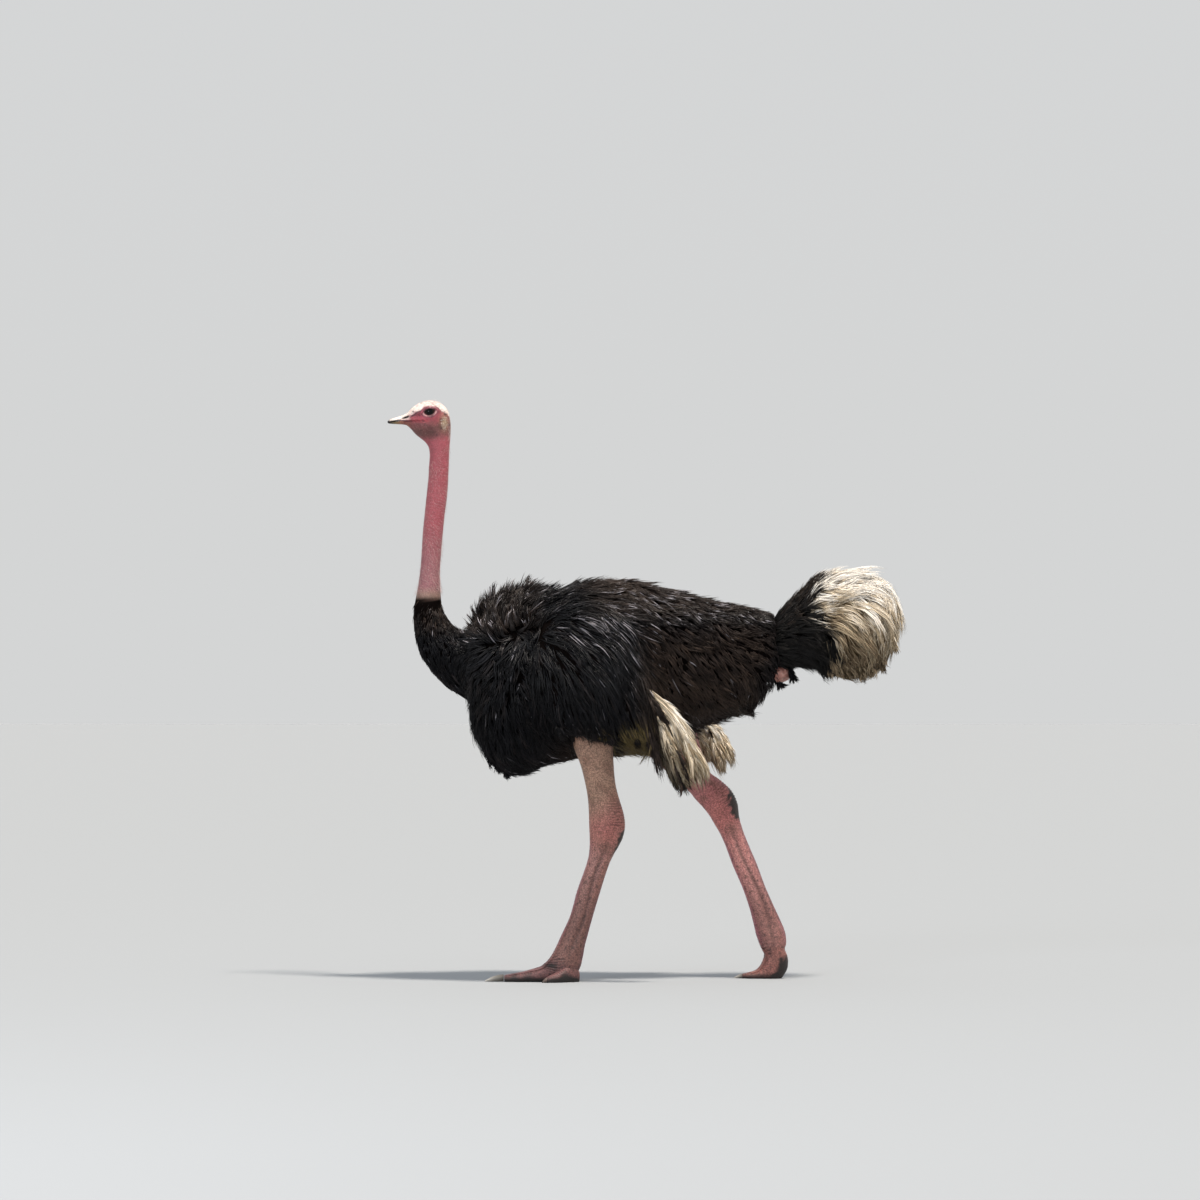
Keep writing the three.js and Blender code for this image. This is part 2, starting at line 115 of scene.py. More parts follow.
# -------- stations of the body
# Each row is one cross-section: [back x, back z, front x, front z, half width, distance out].
# The back point lies on the upper or rear outline, the front point on the lower or front one.
HEAD = [
    [-884, 2029, -884, 2003, 15],
    [-868, 2037, -869, 2001, 19],
    [-855, 2044, -857, 1998, 22],
    [-839, 2061, -842, 1985, 27],
    [-816, 2077, -830, 1971, 34],
    [-793, 2085, -817, 1959, 41],
    [-773, 2088, -805, 1950, 45],
    [-747, 2083, -794, 1941, 44],
    [-724, 2070, -785, 1931, 41],
    [-708, 2047, -778, 1917, 38],
    [-700, 2008, -775, 1895, 35],
    [-700, 1967, -776, 1870, 34],
    [-704, 1915, -778, 1843, 33],
]
NECK = [
    [-707, 1840, -779, 1815, 32],
    [-712, 1750, -786, 1748, 32],
    [-721, 1680, -793, 1680, 32],
    [-728, 1610, -800, 1610, 32],
    [-734, 1540, -804, 1540, 31],
    [-738, 1480, -809, 1478, 33],
    [-738, 1430, -816, 1424, 37],
    [-734, 1381, -827, 1370, 43],
    [-727, 1345, -837, 1312, 50],
    [-709, 1309, -832, 1247, 60],
    [-689, 1283, -814, 1179, 72],
    [-668, 1265, -781, 1121, 86],
    [-640, 1250, -727, 1064, 100],
    [-600, 1230, -659, 1021, 108],
    [-560, 1210, -594, 992, 104],
]
# The trunk, out to the tips of its feathers.
TRUNK = [
    [-664, 1215, -662, 1060, 58],
    [-652, 1262, -650, 1005, 98],
    [-635, 1305, -635, 930, 132],
    [-608, 1350, -608, 858, 160],
    [-573, 1380, -570, 800, 183],
    [-528, 1407, -520, 742, 204],
    [-465, 1427, -465, 730, 221],
    [-400, 1437, -400, 745, 233],
    [-325, 1428, -325, 770, 240],
    [-235, 1435, -235, 790, 243],
    [-125, 1450, -125, 805, 243],
    [-30, 1445, -25, 830, 237],
    [60, 1422, 70, 862, 224],
    [145, 1400, 160, 900, 206],
    [225, 1380, 250, 932, 184],
    [305, 1365, 330, 955, 156],
    [375, 1350, 390, 985, 128],
    [430, 1338, 445, 1042, 102],
    [470, 1325, 482, 1085, 78],
]
TAIL = [
    [440, 1290, 450, 1110, 62],
    [474, 1338, 508, 1118, 76],
    [515, 1376, 560, 1130, 90],
    [560, 1415, 600, 1122, 106],
    [612, 1455, 655, 1095, 126],
    [675, 1479, 722, 1076, 142],
    [740, 1483, 785, 1080, 150],
    [805, 1472, 838, 1100, 144],
    [862, 1448, 874, 1138, 120],
    [905, 1402, 908, 1206, 82],
    [925, 1350, 926, 1272, 34],
    [929, 1324, 929, 1298, 8],
]
WING = [
    [-398, 1250, -408, 1180, 16, 200],
    [-368, 1308, -408, 1080, 38, 210],
    [-305, 1350, -378, 990, 54, 220],
    [-215, 1370, -322, 926, 62, 228],
    [-120, 1350, -235, 888, 66, 232],
    [-38, 1272, -136, 868, 64, 232],
    [8, 1168, -44, 858, 54, 232],
    [34, 1052, 18, 856, 34, 234],
    [44, 985, 42, 892, 14, 236],
]
FRONT_LEG = [
    [-40, 1051, -256, 1051, 60, 150],
    [-83, 950, -266, 950, 64, 152],
    [-113, 857, -259, 857, 60, 145],
    [-113, 781, -231, 778, 51, 137],
    [-106, 709, -214, 709, 45, 129],
    [-92, 655, -205, 655, 44, 122],
    [-78, 608, -202, 608, 46, 117],
    [-72, 565, -201, 562, 47, 112],
    [-79, 522, -199, 518, 44, 108],
    [-95, 488, -200, 475, 39, 105],
    [-117, 450, -206, 436, 34, 102],
    [-135, 407, -220, 392, 31, 99],
    [-157, 338, -243, 328, 30, 94],
    [-184, 248, -268, 238, 31, 88],
    [-204, 176, -299, 169, 35, 83],
    [-216, 130, -322, 119, 42, 80],
    [-223, 92, -343, 84, 46, 78],
    [-233, 52, -362, 64, 47, 77],
    [-256, 14, -376, 54, 44, 77],
    [-300, -3, -391, 49, 39, 76],
    [-368, -5, -408, 44, 35, 74],
    [-425, -5, -440, 35, 33, 73],
    [-478, -5, -480, 28, 30, 71],
    [-505, -3, -506, 22, 22, 70],
]
REAR_LEG = [
    [83, 1106, -83, 951, 60, 150],
    [133, 1005, -40, 854, 62, 150],
    [180, 908, 25, 797, 58, 152],
    [205, 825, 94, 735, 49, 148],
    [230, 753, 158, 678, 43, 143],
    [274, 717, 187, 644, 43, 140],
    [313, 680, 214, 615, 46, 137],
    [335, 635, 236, 586, 47, 135],
    [342, 584, 256, 552, 43, 133],
    [355, 537, 275, 519, 38, 132],
    [376, 483, 297, 469, 33, 131],
    [405, 415, 320, 408, 31, 130],
    [436, 332, 353, 332, 30, 129],
    [466, 264, 376, 267, 31, 127],
    [490, 212, 391, 213, 35, 127],
    [508, 167, 403, 163, 42, 126],
    [512, 128, 416, 124, 44, 126],
    [507, 106, 424, 106, 43, 126],
    [516, 82, 433, 87, 42, 127],
    [519, 58, 428, 66, 41, 127],
    [513, 28, 420, 48, 39, 128],
    [488, -4, 410, 36, 37, 130],
    [450, -6, 399, 28, 34, 131],
    [415, -6, 385, 23, 31, 132],
    [380, -5, 367, 20, 28, 133],
    [354, -2, 352, 15, 18, 134],
]
REAR_OUTER_TOE = [
    [478, 118, 428, 114, 19, 155],
    [486, 84, 440, 82, 20, 164],
    [482, 46, 436, 50, 21, 171],
    [466, 4, 430, 28, 19, 177],
    [440, -4, 418, 18, 16, 182],
    [414, -1, 408, 13, 9, 186],
]
FRONT_TOE_ROOT = (-272, 102)      # x and distance out of the front foot's outer toe
FRONT_TOE_SPLAY = 26              # degrees outwards
FRONT_TOE_LENGTH = 92
# Share of that toe's length, height and half width.
FRONT_OUTER_TOE = [
    (-0.4, 40, 10),
    (-0.15, 66, 17),
    (0.1, 62, 20),
    (0.4, 44, 21),
    (0.65, 31, 18),
    (0.85, 24, 14),
    (1.0, 18, 9),
]
ANKLE_STATION = {"left": 7.2, "right": 7.0}    # how far down the rows of its leg each joint is
NARROW_STATION = 10.5             # where the ankle has narrowed to the shank
BALL_STATION = 17.5               # where the shank meets the foot
FOLD_PITCH = 9                    # mm from fold to fold behind the ankle

EYE = np.array([-774.0, 25.5, 2046.0])    # x, distance out and z of the eyeball's centre
EYE_RADIUS = 22.0
MOUTH_Z = 2014.5                  # height of the slit between the halves of the bill
GAPE_X = -784.0                   # the corner of the mouth, under the eye
GAPE_BEND_X = -815.0              # the slit is level in front of this and droops behind it
GAPE_SAG = 0.0009                 # its droop, per square of the distance behind the bend


def drift(points, size, seed):
    """Soft noise over the body, about -1 to 1, with features of about `size` millimetres."""
    waves = unit(np.random.default_rng(seed).normal(0, 1, (7, 3)))
    pitch = size * (0.7 + 0.15 * np.arange(7))
    return np.sin(points @ (waves * 2 * math.pi / pitch[:, None]).T + np.arange(7) * 1.7).sum(-1) / 2.6


class Sweep:
    """A smooth surface through oval cross-sections; t runs along the rows, a round each one."""

    def __init__(self, rows, side=1, square=2.0, bias=0.0, lean=0.0, turn=None):
        self.rows = np.array([list(r) + [0.0] * (6 - len(r)) for r in rows], float)
        self.last = len(rows) - 1
        self.side, self.square, self.bias, self.lean, self.turn = side, square, bias, lean, turn
        fine = np.linspace(0, self.last, 40 * self.last + 1)
        s = self.station(fine)
        mid = (s[:, 0:2] + s[:, 2:4]) / 2
        self.fine = fine
        self.run = np.concatenate([[0], np.cumsum(np.linalg.norm(np.diff(mid, axis=0), axis=1))])
        self.length = self.run[-1]

    def station(self, t):
        """The cross-sections at places t, curved smoothly through the rows."""
        t = np.atleast_1d(t)
        i = np.clip(np.floor(t).astype(int), 0, self.last - 1)
        f = (t - i)[:, None]
        a, b, c, d = (self.rows[np.clip(i + k, 0, self.last)] for k in (-1, 0, 1, 2))
        return 0.5 * (2 * b + (c - a) * f + (2 * a - 5 * b + 4 * c - d) * f ** 2
                      + (3 * b - a - 3 * c + d) * f ** 3)

    def at_run(self, distance):
        """The place along the rows a given distance from the start."""
        return np.interp(distance, self.run, self.fine)

    def point(self, t, a):
        """Points at places t and angles a (0 at the back, turning to the outer side)."""
        s = self.station(t)
        back, front, half, out = s[:, 0:2], s[:, 2:4], s[:, 4], s[:, 5]
        span = np.linalg.norm(back - front, axis=1)
        axis = (back - front) / span[:, None]
        power = 2 / self.square
        c = np.sign(np.cos(a)) * np.abs(np.cos(a)) ** power
        w = np.sign(np.sin(a)) * np.abs(np.sin(a)) ** power
        mid = (back + front) / 2
        across = out + half * w * (1 + self.bias * c) - self.lean * c
        p = np.stack([mid[:, 0] + axis[:, 0] * span / 2 * c, self.side * across,
                      mid[:, 1] + axis[:, 1] * span / 2 * c], 1)
        if self.turn:
            x, out0, degrees = self.turn
            angle = -self.side * math.radians(degrees)
            px, py = p[:, 0] - x, p[:, 1] - self.side * out0
            p = np.stack([x + px * math.cos(angle) - py * math.sin(angle),
                          self.side * out0 + px * math.sin(angle) + py * math.cos(angle), p[:, 2]], 1)
        return p

    def normal(self, t, a):
        """Outward unit normals, from small steps either way."""
        dt, da = 0.02, 0.02
        low, high = np.clip(t - dt, 0, self.last), np.clip(t + dt, 0, self.last)
        along = self.point(high, a) - self.point(low, a)
        around = self.point(t, a + da) - self.point(t, a - da)
        n = unit(np.cross(along, around))
        if self.turn:
            inner = self.point(t, a + math.pi)
        else:
            s = self.station(t)
            inner = np.stack([(s[:, 0] + s[:, 2]) / 2, self.side * s[:, 5],
                              (s[:, 1] + s[:, 3]) / 2], 1)
        return n * np.sign(np.sum(n * (self.point(t, a) - inner), 1))[:, None]


def grid_solid(rings):
    """Triangles of a closed body from rings (rows x around x 3), a pole closing each end."""
    rows, around = rings.shape[:2]
    points = np.concatenate([rings.reshape(-1, 3), [rings[0].mean(0)], [rings[-1].mean(0)]])
    r, i = np.meshgrid(np.arange(rows - 1), np.arange(around), indexing="ij")
    a = (r * around + i).ravel()
    b = (r * around + (i + 1) % around).ravel()
    c, d = a + around, b + around
    k = np.arange(around)
    end = (rows - 1) * around
    first, last = rows * around, rows * around + 1
    faces = np.concatenate([
        np.stack([a, c, b], 1), np.stack([b, c, d], 1),
        np.stack([np.full(around, first), k, (k + 1) % around], 1),
        np.stack([np.full(around, last), end + (k + 1) % around, end + k], 1)])
    p = points[faces]
    volume = np.sum(p[:, 0] * np.cross(p[:, 1], p[:, 2]))
    return points, faces if volume > 0 else faces[:, ::-1].copy()


def sweep_body(name, sweep, spacing, around, relief=None):
    """A closed body from a sweep, its rings `spacing` mm apart (a number or f(t)) and relief."""
    distances = [0.0]
    while distances[-1] < sweep.length:
        t = sweep.at_run(distances[-1])
        distances.append(distances[-1] + (spacing(t) if callable(spacing) else spacing))
    distances[-1] = sweep.length
    t = np.repeat(sweep.at_run(np.array(distances)), around)
    a = np.tile(np.arange(around) * 2 * math.pi / around, len(distances))
    points = sweep.point(t, a)
    if relief:
        points = relief(points, sweep.normal(t, a), t, a)
    points, faces = grid_solid(points.reshape(len(distances), around, 3))
    return mesh_object(name, points, faces)


def joined(name, bodies):
    """One body from several closed ones, the rest deleted."""
    base = bodies[0]
    for other in bodies[1:]:
        union = base.modifiers.new("join", "BOOLEAN")
        union.operation = "UNION"
        union.object = other
        union.solver = "MANIFOLD"
        depsgraph = bpy.context.evaluated_depsgraph_get()
        result = bpy.data.meshes.new_from_object(base.evaluated_get(depsgraph))
        base.modifiers.remove(union)
        base.data = result
        bpy.data.objects.remove(other)
    base.name = base.data.name = name
    return base


# -------- the face, in side view
LID_HALF = (18.4, 11.8)           # half length and half height of the eye's opening
LID_TILT = math.radians(11)
LID_POWERS = (1.75, 1.9)          # below 2, so it is more pointed than an ellipse
NOSTRIL = (-861.0, 2026.6)        # x and z of the slot's middle


def blot(x, z, cx, cz, rx, rz):
    """A soft round patch in side view."""
    return np.exp(-((x - cx) / rx) ** 2 - ((z - cz) / rz) ** 2)


def nostril_slot(x, z, half_height):
    """1 inside the long nostril slot, which rises towards the forehead."""
    along = (x - NOSTRIL[0]) / 12
    across = (z - NOSTRIL[1] - 0.32 * (x - NOSTRIL[0])) / (half_height * (1.3 + 0.4 * along))
    return np.exp(-np.abs(along) ** 4 - across ** 2)


def brow_crease(x, z):
    """The crease that rises from behind the nostril to the corner of the eye."""
    line = np.interp(x, [-848, -841, -823, -796, -786], [2025, 2029, 2042, 2054, 2062])
    return np.exp(-((z - line) / 2.0) ** 2) * smooth(-850, -842, x) * smooth(-784, -792, x)


def cap_edge(x):
    """The lower edge of the pale cap, from the bill over the eye to the nape."""
    return np.interp(x, [-884, -853, -841, -823, -796, -749, -734, -716, -702, -690],
                     [2031, 2034, 2037, 2047, 2062, 2065, 2051, 2044, 2026, 2000])


def lid_distance(x, z):
    """Below 1 inside the almond opening between the lids, above 1 outside it."""
    dx, dz = x - EYE[0], z - EYE[2]
    u = (dx * math.cos(LID_TILT) + dz * math.sin(LID_TILT)) / LID_HALF[0]
    v = (-dx * math.sin(LID_TILT) + dz * math.cos(LID_TILT)) / LID_HALF[1]
    return (np.abs(u) ** LID_POWERS[0] + np.abs(v) ** LID_POWERS[1]) ** (1 / 1.8)


def over_eyeball(u, v, height, side):
    """Points `height` above the eyeball, `u` along and `v` across the opening of the lids."""
    dx = u * math.cos(LID_TILT) - v * math.sin(LID_TILT)
    dz = u * math.sin(LID_TILT) + v * math.cos(LID_TILT)
    out = np.sqrt((EYE_RADIUS + height) ** 2 - dx ** 2 - dz ** 2)
    return np.stack([EYE[0] + dx, side * (EYE[1] + out), EYE[2] + dz], 1)


# -------- skin: relief of each stretch
def flat_sole(points, normals, t, a):
    """The sole lies flat on the floor."""
    points[:, 2] = np.maximum(points[:, 2], 0.4)
    return points


def ankle_folds(station, run, back, joint):
    """How far each point lies in the folded skin behind the ankle, and the wave of its folds."""
    folded = smooth(joint - 2.6, joint - 1.6, station) * smooth(joint + 0.4, joint - 0.4, station)
    wave = np.sin(2 * math.pi * (run - FOLD_PITCH * np.abs(back - 0.2)) / FOLD_PITCH)
    return folded * smooth(-0.1, 0.5, back), wave


def leg_relief(sweep, joint):
    """Folds over the ankle joint, tendons along the shank and creases above the foot."""
    ball = BALL_STATION

    def relief(points, normals, t, a):
        back, sides = np.cos(a), np.abs(np.sin(a))
        run = np.interp(t, sweep.fine, sweep.run)
        folded, wave = ankle_folds(t, run, back, joint)
        push = 1.7 * folded * wave
        # a groove down each side of the shank, a tendon behind it and the bone in front
        shank = smooth(joint + 1.0, joint + 2.6, t) * smooth(ball - 1.5, ball - 3.0, t)
        groove = 0.12 + 0.1 * np.sin(run / 60)
        push -= 5.0 * shank * np.exp(-((back - groove) / 0.15) ** 2) * smooth(0.4, 0.8, sides)
        push += 2.0 * shank * np.exp(-((back - 0.62) / 0.2) ** 2)
        push += 1.4 * shank * np.exp(-((back + 0.35) / 0.2) ** 2)
        # the knob of the joint on each side, and the hollow behind it
        knob = np.exp(-((t - joint - 0.4) / 0.55) ** 2 - ((back + 0.1) / 0.3) ** 2)
        push += 3.0 * knob * smooth(0.4, 0.9, sides)
        push -= 2.2 * np.exp(-((t - joint - 0.4) / 0.5) ** 2 - ((back - 0.45) / 0.14) ** 2)
        # notches over the root of the toes, then creases across the big toe
        notches = smooth(ball - 2.4, ball - 1.2, t) * smooth(ball + 1.2, ball, t)
        notches *= smooth(0.2, -0.5, back)
        push += 1.6 * notches * np.sin(2 * math.pi * (run + 10 * sides) / 13)
        toe = smooth(ball + 1.5, ball + 2.5, t) * smooth(-0.2, -0.7, back)
        push += 1.0 * toe * np.sin(2 * math.pi * run / 12)
        return flat_sole(points + normals * push[:, None], normals, t, a)
    return relief


def head_relief(points, normals, t, a):
    """Sockets, cheek, gape groove and the low hollows of the face."""
    x, y, z = points.T
    side = np.where(y < 0, -1.0, 1.0)
    on_side = smooth(0.15, 0.5, np.abs(normals[:, 1]))
    # the gape: a groove that runs from the bill under the eye, with a raised lip either side
    groove_z = MOUTH_Z - 1.0 - GAPE_SAG * (x - GAPE_BEND_X) ** 2 * (x > GAPE_BEND_X)
    along = smooth(-880, -862, x) * smooth(GAPE_X + 8, GAPE_X - 6, x)
    depth = np.exp(-((z - groove_z) / 1.7) ** 2)
    lips = np.exp(-((z - groove_z) / 5.0) ** 2)
    push = on_side * along * (1.5 * lips - 4.2 * depth)
    # hollow lore between nostril and eye, hollow behind the eye, full cheek, brow
    lore = blot(x, z, -822, 2034, 20, 9)
    temple = blot(x, z, -738, 2040, 13, 14)
    cheek = blot(x, z, -768, 1996, 24, 13)
    brow = blot(x, z, -778, 2071, 22, 6)
    ear = blot(x, z, -731, 2012, 6.5, 7.5)
    nostril = nostril_slot(x, z, 2.6)
    fold = brow_crease(x, z)
    push += on_side * (1.6 * nostril_slot(x, z, 5.5) - 6.5 * nostril)
    # fine creases that run back from the bill through the lore and under the eye
    crease = np.sin((z - 0.35 * x) * 0.95) * blot(x, z, -826, 2034, 26, 12)
    crease += 0.8 * np.sin((z + 0.25 * x) * 0.8) * blot(x, z, -800, 2024, 34, 8)
    crease += 0.9 * np.sin((z + 0.9 * x) * 0.55) * blot(x, z, -742, 1990, 26, 34)
    push += 0.5 * on_side * crease
    push += on_side * (1.2 * brow_crease(x, z - 5) - 1.8 * fold)
    push += on_side * (-3.2 * lore - 2.0 * temple + 2.0 * cheek + 2.2 * brow - 4.0 * ear)
    out = points + normals * push[:, None]
    # the lids lie over the eyeball and part in an almond opening, with folds round it
    rho = lid_distance(out[:, 0], out[:, 2])
    dx, dz = out[:, 0] - EYE[0], out[:, 2] - EYE[2]
    apart = np.sqrt(dx ** 2 + dz ** 2)
    ball = EYE[1] + np.sqrt(np.maximum(EYE_RADIUS ** 2 - apart ** 2, 0))
    folds = 1.1 * np.exp(-((rho - 1.5) / 0.12) ** 2) - 1.3 * np.exp(-((rho - 1.3) / 0.09) ** 2)
    folds += 0.8 * np.exp(-((rho - 1.85) / 0.14) ** 2)
    width = np.abs(out[:, 1]) + folds
    over_ball = smooth(EYE_RADIUS + 7, EYE_RADIUS - 3, apart)
    lid = np.maximum(width, mix(width, ball + 1.8 + folds, over_ball))
    target = np.where(rho < 1.05, ball - 5.0, lid)
    near = np.abs(normals[:, 1]) > 0.2
    out[:, 1] = side * np.where(near & (rho < 2.6), target, np.abs(out[:, 1]))
    return out


# -------- skin
axis_sweep = Sweep(HEAD + NECK, square=2.12, bias=0.03)
trunk_sweep = Sweep(TRUNK, square=2.25, bias=0.03)
tail_sweep = Sweep(TAIL, square=2.2)
wing_sweeps = {s: Sweep(WING, side=k, square=2.1, lean=24) for s, k in SIDES.items()}
leg_sweeps = {"left": Sweep(FRONT_LEG, side=-1, square=2.15),
              "right": Sweep(REAR_LEG, side=1, square=2.15)}
toe_rows = []
for share, height, half in FRONT_OUTER_TOE:
    x = FRONT_TOE_ROOT[0] - FRONT_TOE_LENGTH * share
    toe_rows.append([x, height, x, -4, half, FRONT_TOE_ROOT[1]])
toe_sweeps = {"left": Sweep(toe_rows, side=-1, square=2.3, turn=(*FRONT_TOE_ROOT, FRONT_TOE_SPLAY)),
              "right": Sweep(REAR_OUTER_TOE, side=1, square=2.3)}


def neck_spacing(t):
    """Millimetres from ring to ring: fine on the face, coarse under the feathers."""
    return 1.6 if t < 11 else 2.4 if t < 13 else 5.0 if t < 20 else 12.0


NECK_FEATHER_T = 20.0             # station of the neck where the black feathers begin


def coat_depth(points):
    """How deep the skin lies under the tips of the plumage on the trunk."""
    x, z = points[:, 0], points[:, 2]
    return 24 + 22 * smooth(-270, -360, x) * smooth(1180, 1300, z) + 8 * smooth(-300, -420, x)


def under_coat(depth):
    """A relief that sinks a surface by the depth of its plumage."""
    def relief(points, normals, t, a):
        amount = depth(points) if callable(depth) else np.full(len(points), float(depth))
        return points - normals * amount[:, None]
    return relief


def lid_rim(side):
    """A raised, rounded rim along the edge of the eyelids, lying on the eyeball."""
    turns, around = 96, 10
    angle = np.arange(turns) * 2 * math.pi / turns
    u = np.sign(np.cos(angle)) * np.abs(np.cos(angle)) ** (2 / LID_POWERS[0]) * (LID_HALF[0] + 0.5)
    v = np.sign(np.sin(angle)) * np.abs(np.sin(angle)) ** (2 / LID_POWERS[1]) * (LID_HALF[1] + 0.5)
    centre = over_eyeball(u, v, 0.9, side)
    middle = np.array([EYE[0], side * EYE[1], EYE[2]])
    outward = unit(centre - middle)
    tangent = unit(np.roll(centre, -1, 0) - np.roll(centre, 1, 0))
    across = np.cross(tangent, outward)
    turn = np.arange(around) * 2 * math.pi / around
    ring = (centre[:, None] + 1.7 * np.cos(turn)[None, :, None] * outward[:, None]
            + 2.1 * np.sin(turn)[None, :, None] * across[:, None])
    r, i = np.meshgrid(np.arange(turns), np.arange(around), indexing="ij")
    a, b = r * around + i, r * around + (i + 1) % around
    c, d = (a + around) % (turns * around), (b + around) % (turns * around)
    faces = np.concatenate([np.stack([a, c, b], -1).reshape(-1, 3),
                            np.stack([b, c, d], -1).reshape(-1, 3)])
    p = ring.reshape(-1, 3)[faces] - middle
    if np.sum(p[:, 0] * np.cross(p[:, 1], p[:, 2])) < 0:
        faces = faces[:, ::-1].copy()
    return mesh_object("lid_rim", ring.reshape(-1, 3), faces)


def axis_relief(points, normals, t, a):
    """The head's relief, and a neck that sinks under the first black feathers."""
    points = head_relief(points, normals, t, a)
    return points - normals * (16 * smooth(NECK_FEATHER_T - 0.5, NECK_FEATHER_T + 4, t))[:, None]


VENT = np.array([486.0, 0.0, 1104.0])      # the bare pink cone under the root of the tail
VENT_SIZE = np.array([38.0, 44.0, 31.0])
vent_rows = []
for turn in np.radians(np.linspace(-80, 80, 9)):
    x = VENT[0] + VENT_SIZE[0] * math.sin(turn)
    half_height = VENT_SIZE[2] * math.cos(turn)
    vent_rows.append([x, VENT[2] + half_height, x, VENT[2] - half_height,
                      VENT_SIZE[1] * math.cos(turn)])


def vent_relief(points, normals, t, a):
    """Soft puckers over the vent."""
    return points + normals * (1.2 * drift(points, 22, 51) + 0.9 * drift(points, 12, 52))[:, None]


skin = joined("skin", [
    sweep_body("axis", axis_sweep, neck_spacing, 128, axis_relief),
    *[lid_rim(k) for k in SIDES.values()],
    sweep_body("trunk_core", trunk_sweep, 18, 72, under_coat(coat_depth)),
    sweep_body("tail_core", tail_sweep, 16, 48, under_coat(34)),
    *[sweep_body("wing_core", s, 16, 40, under_coat(15)) for s in wing_sweeps.values()],
    *[sweep_body("leg", s, 3.4, 64, leg_relief(s, ANKLE_STATION[k])) for k, s in leg_sweeps.items()],
    *[sweep_body("toe", s, 4, 40, flat_sole) for s in toe_sweeps.values()],
    sweep_body("vent", Sweep(vent_rows), 3, 64, vent_relief),
])


# -------- plumage: combing
class Surface:
    """A closed body that strands are combed over: nearest points and outward normals."""

    def __init__(self, bodies):
        body = joined("surface", bodies)
        work = bmesh.new()
        work.from_mesh(body.data)
        self.tree = BVHTree.FromBMesh(work)
        work.free()
        bpy.data.objects.remove(body)

    def nearest(self, points):
        """The spot on the surface next to each point, and the way out from there."""
        spots = np.empty_like(points)
        normals = np.empty_like(points)
        find = self.tree.find_nearest
        for i, p in enumerate((points * MM).tolist()):
            spot, normal, _, _ = find(p)
            spots[i] = spot
            normals[i] = normal
        return spots / MM, normals


class Guides:
    """Given feathers that the rest are combed after, in side view.

    Each row is [x, z, direction x, direction z, length, raise]: raise is the sine of the angle
    at which the feather stands off the body.
    """

    def __init__(self, rows):
        rows = np.array(rows, float)
        self.spots = rows[:, 0:2]
        self.values = np.concatenate([unit(rows[:, 2:4]), rows[:, 4:6]], 1)

    def at(self, points):
        """Direction, length and raise at points, drawn from the guides around them."""
        flat = points[:, [0, 2]]
        gaps = np.linalg.norm(flat[:, None, :] - self.spots[None], axis=2)
        weights = 1 / (gaps + 12) ** 3.5
        mixed = weights @ self.values / weights.sum(1, keepdims=True)
        directions = np.stack([mixed[:, 0], np.zeros(len(flat)), mixed[:, 1]], 1)
        return unit(directions), mixed[:, 2], mixed[:, 3]


WHORL = (-415, 1268)              # x and z of the shoulder, where the plumage parts all ways
EVEN_STEPS = (0.7548776662, 0.5698402910)    # steps along and round that never fall into rows


def even_roots(sweep, count, t_range, a_range=(0, 2 * math.pi)):
    """Evenly scattered places (t, a) on a sweep, following its girth."""
    fine = np.linspace(t_range[0], t_range[1], 300)
    s = sweep.station(fine)
    girth = np.linalg.norm(s[:, 0:2] - s[:, 2:4], axis=1) / 2 + s[:, 4]
    run = np.interp(fine, sweep.fine, sweep.run)
    area = np.concatenate([[0], np.cumsum(np.diff(run) * (girth[1:] + girth[:-1]) / 2)])
    i = np.arange(count) + rng.random()
    t = np.interp((i * EVEN_STEPS[0]) % 1 * area[-1], area, fine)
    a = a_range[0] + (i * EVEN_STEPS[1]) % 1 * (a_range[1] - a_range[0])
    return t + rng.normal(0, 0.02, count), a + rng.normal(0, 0.02, count)


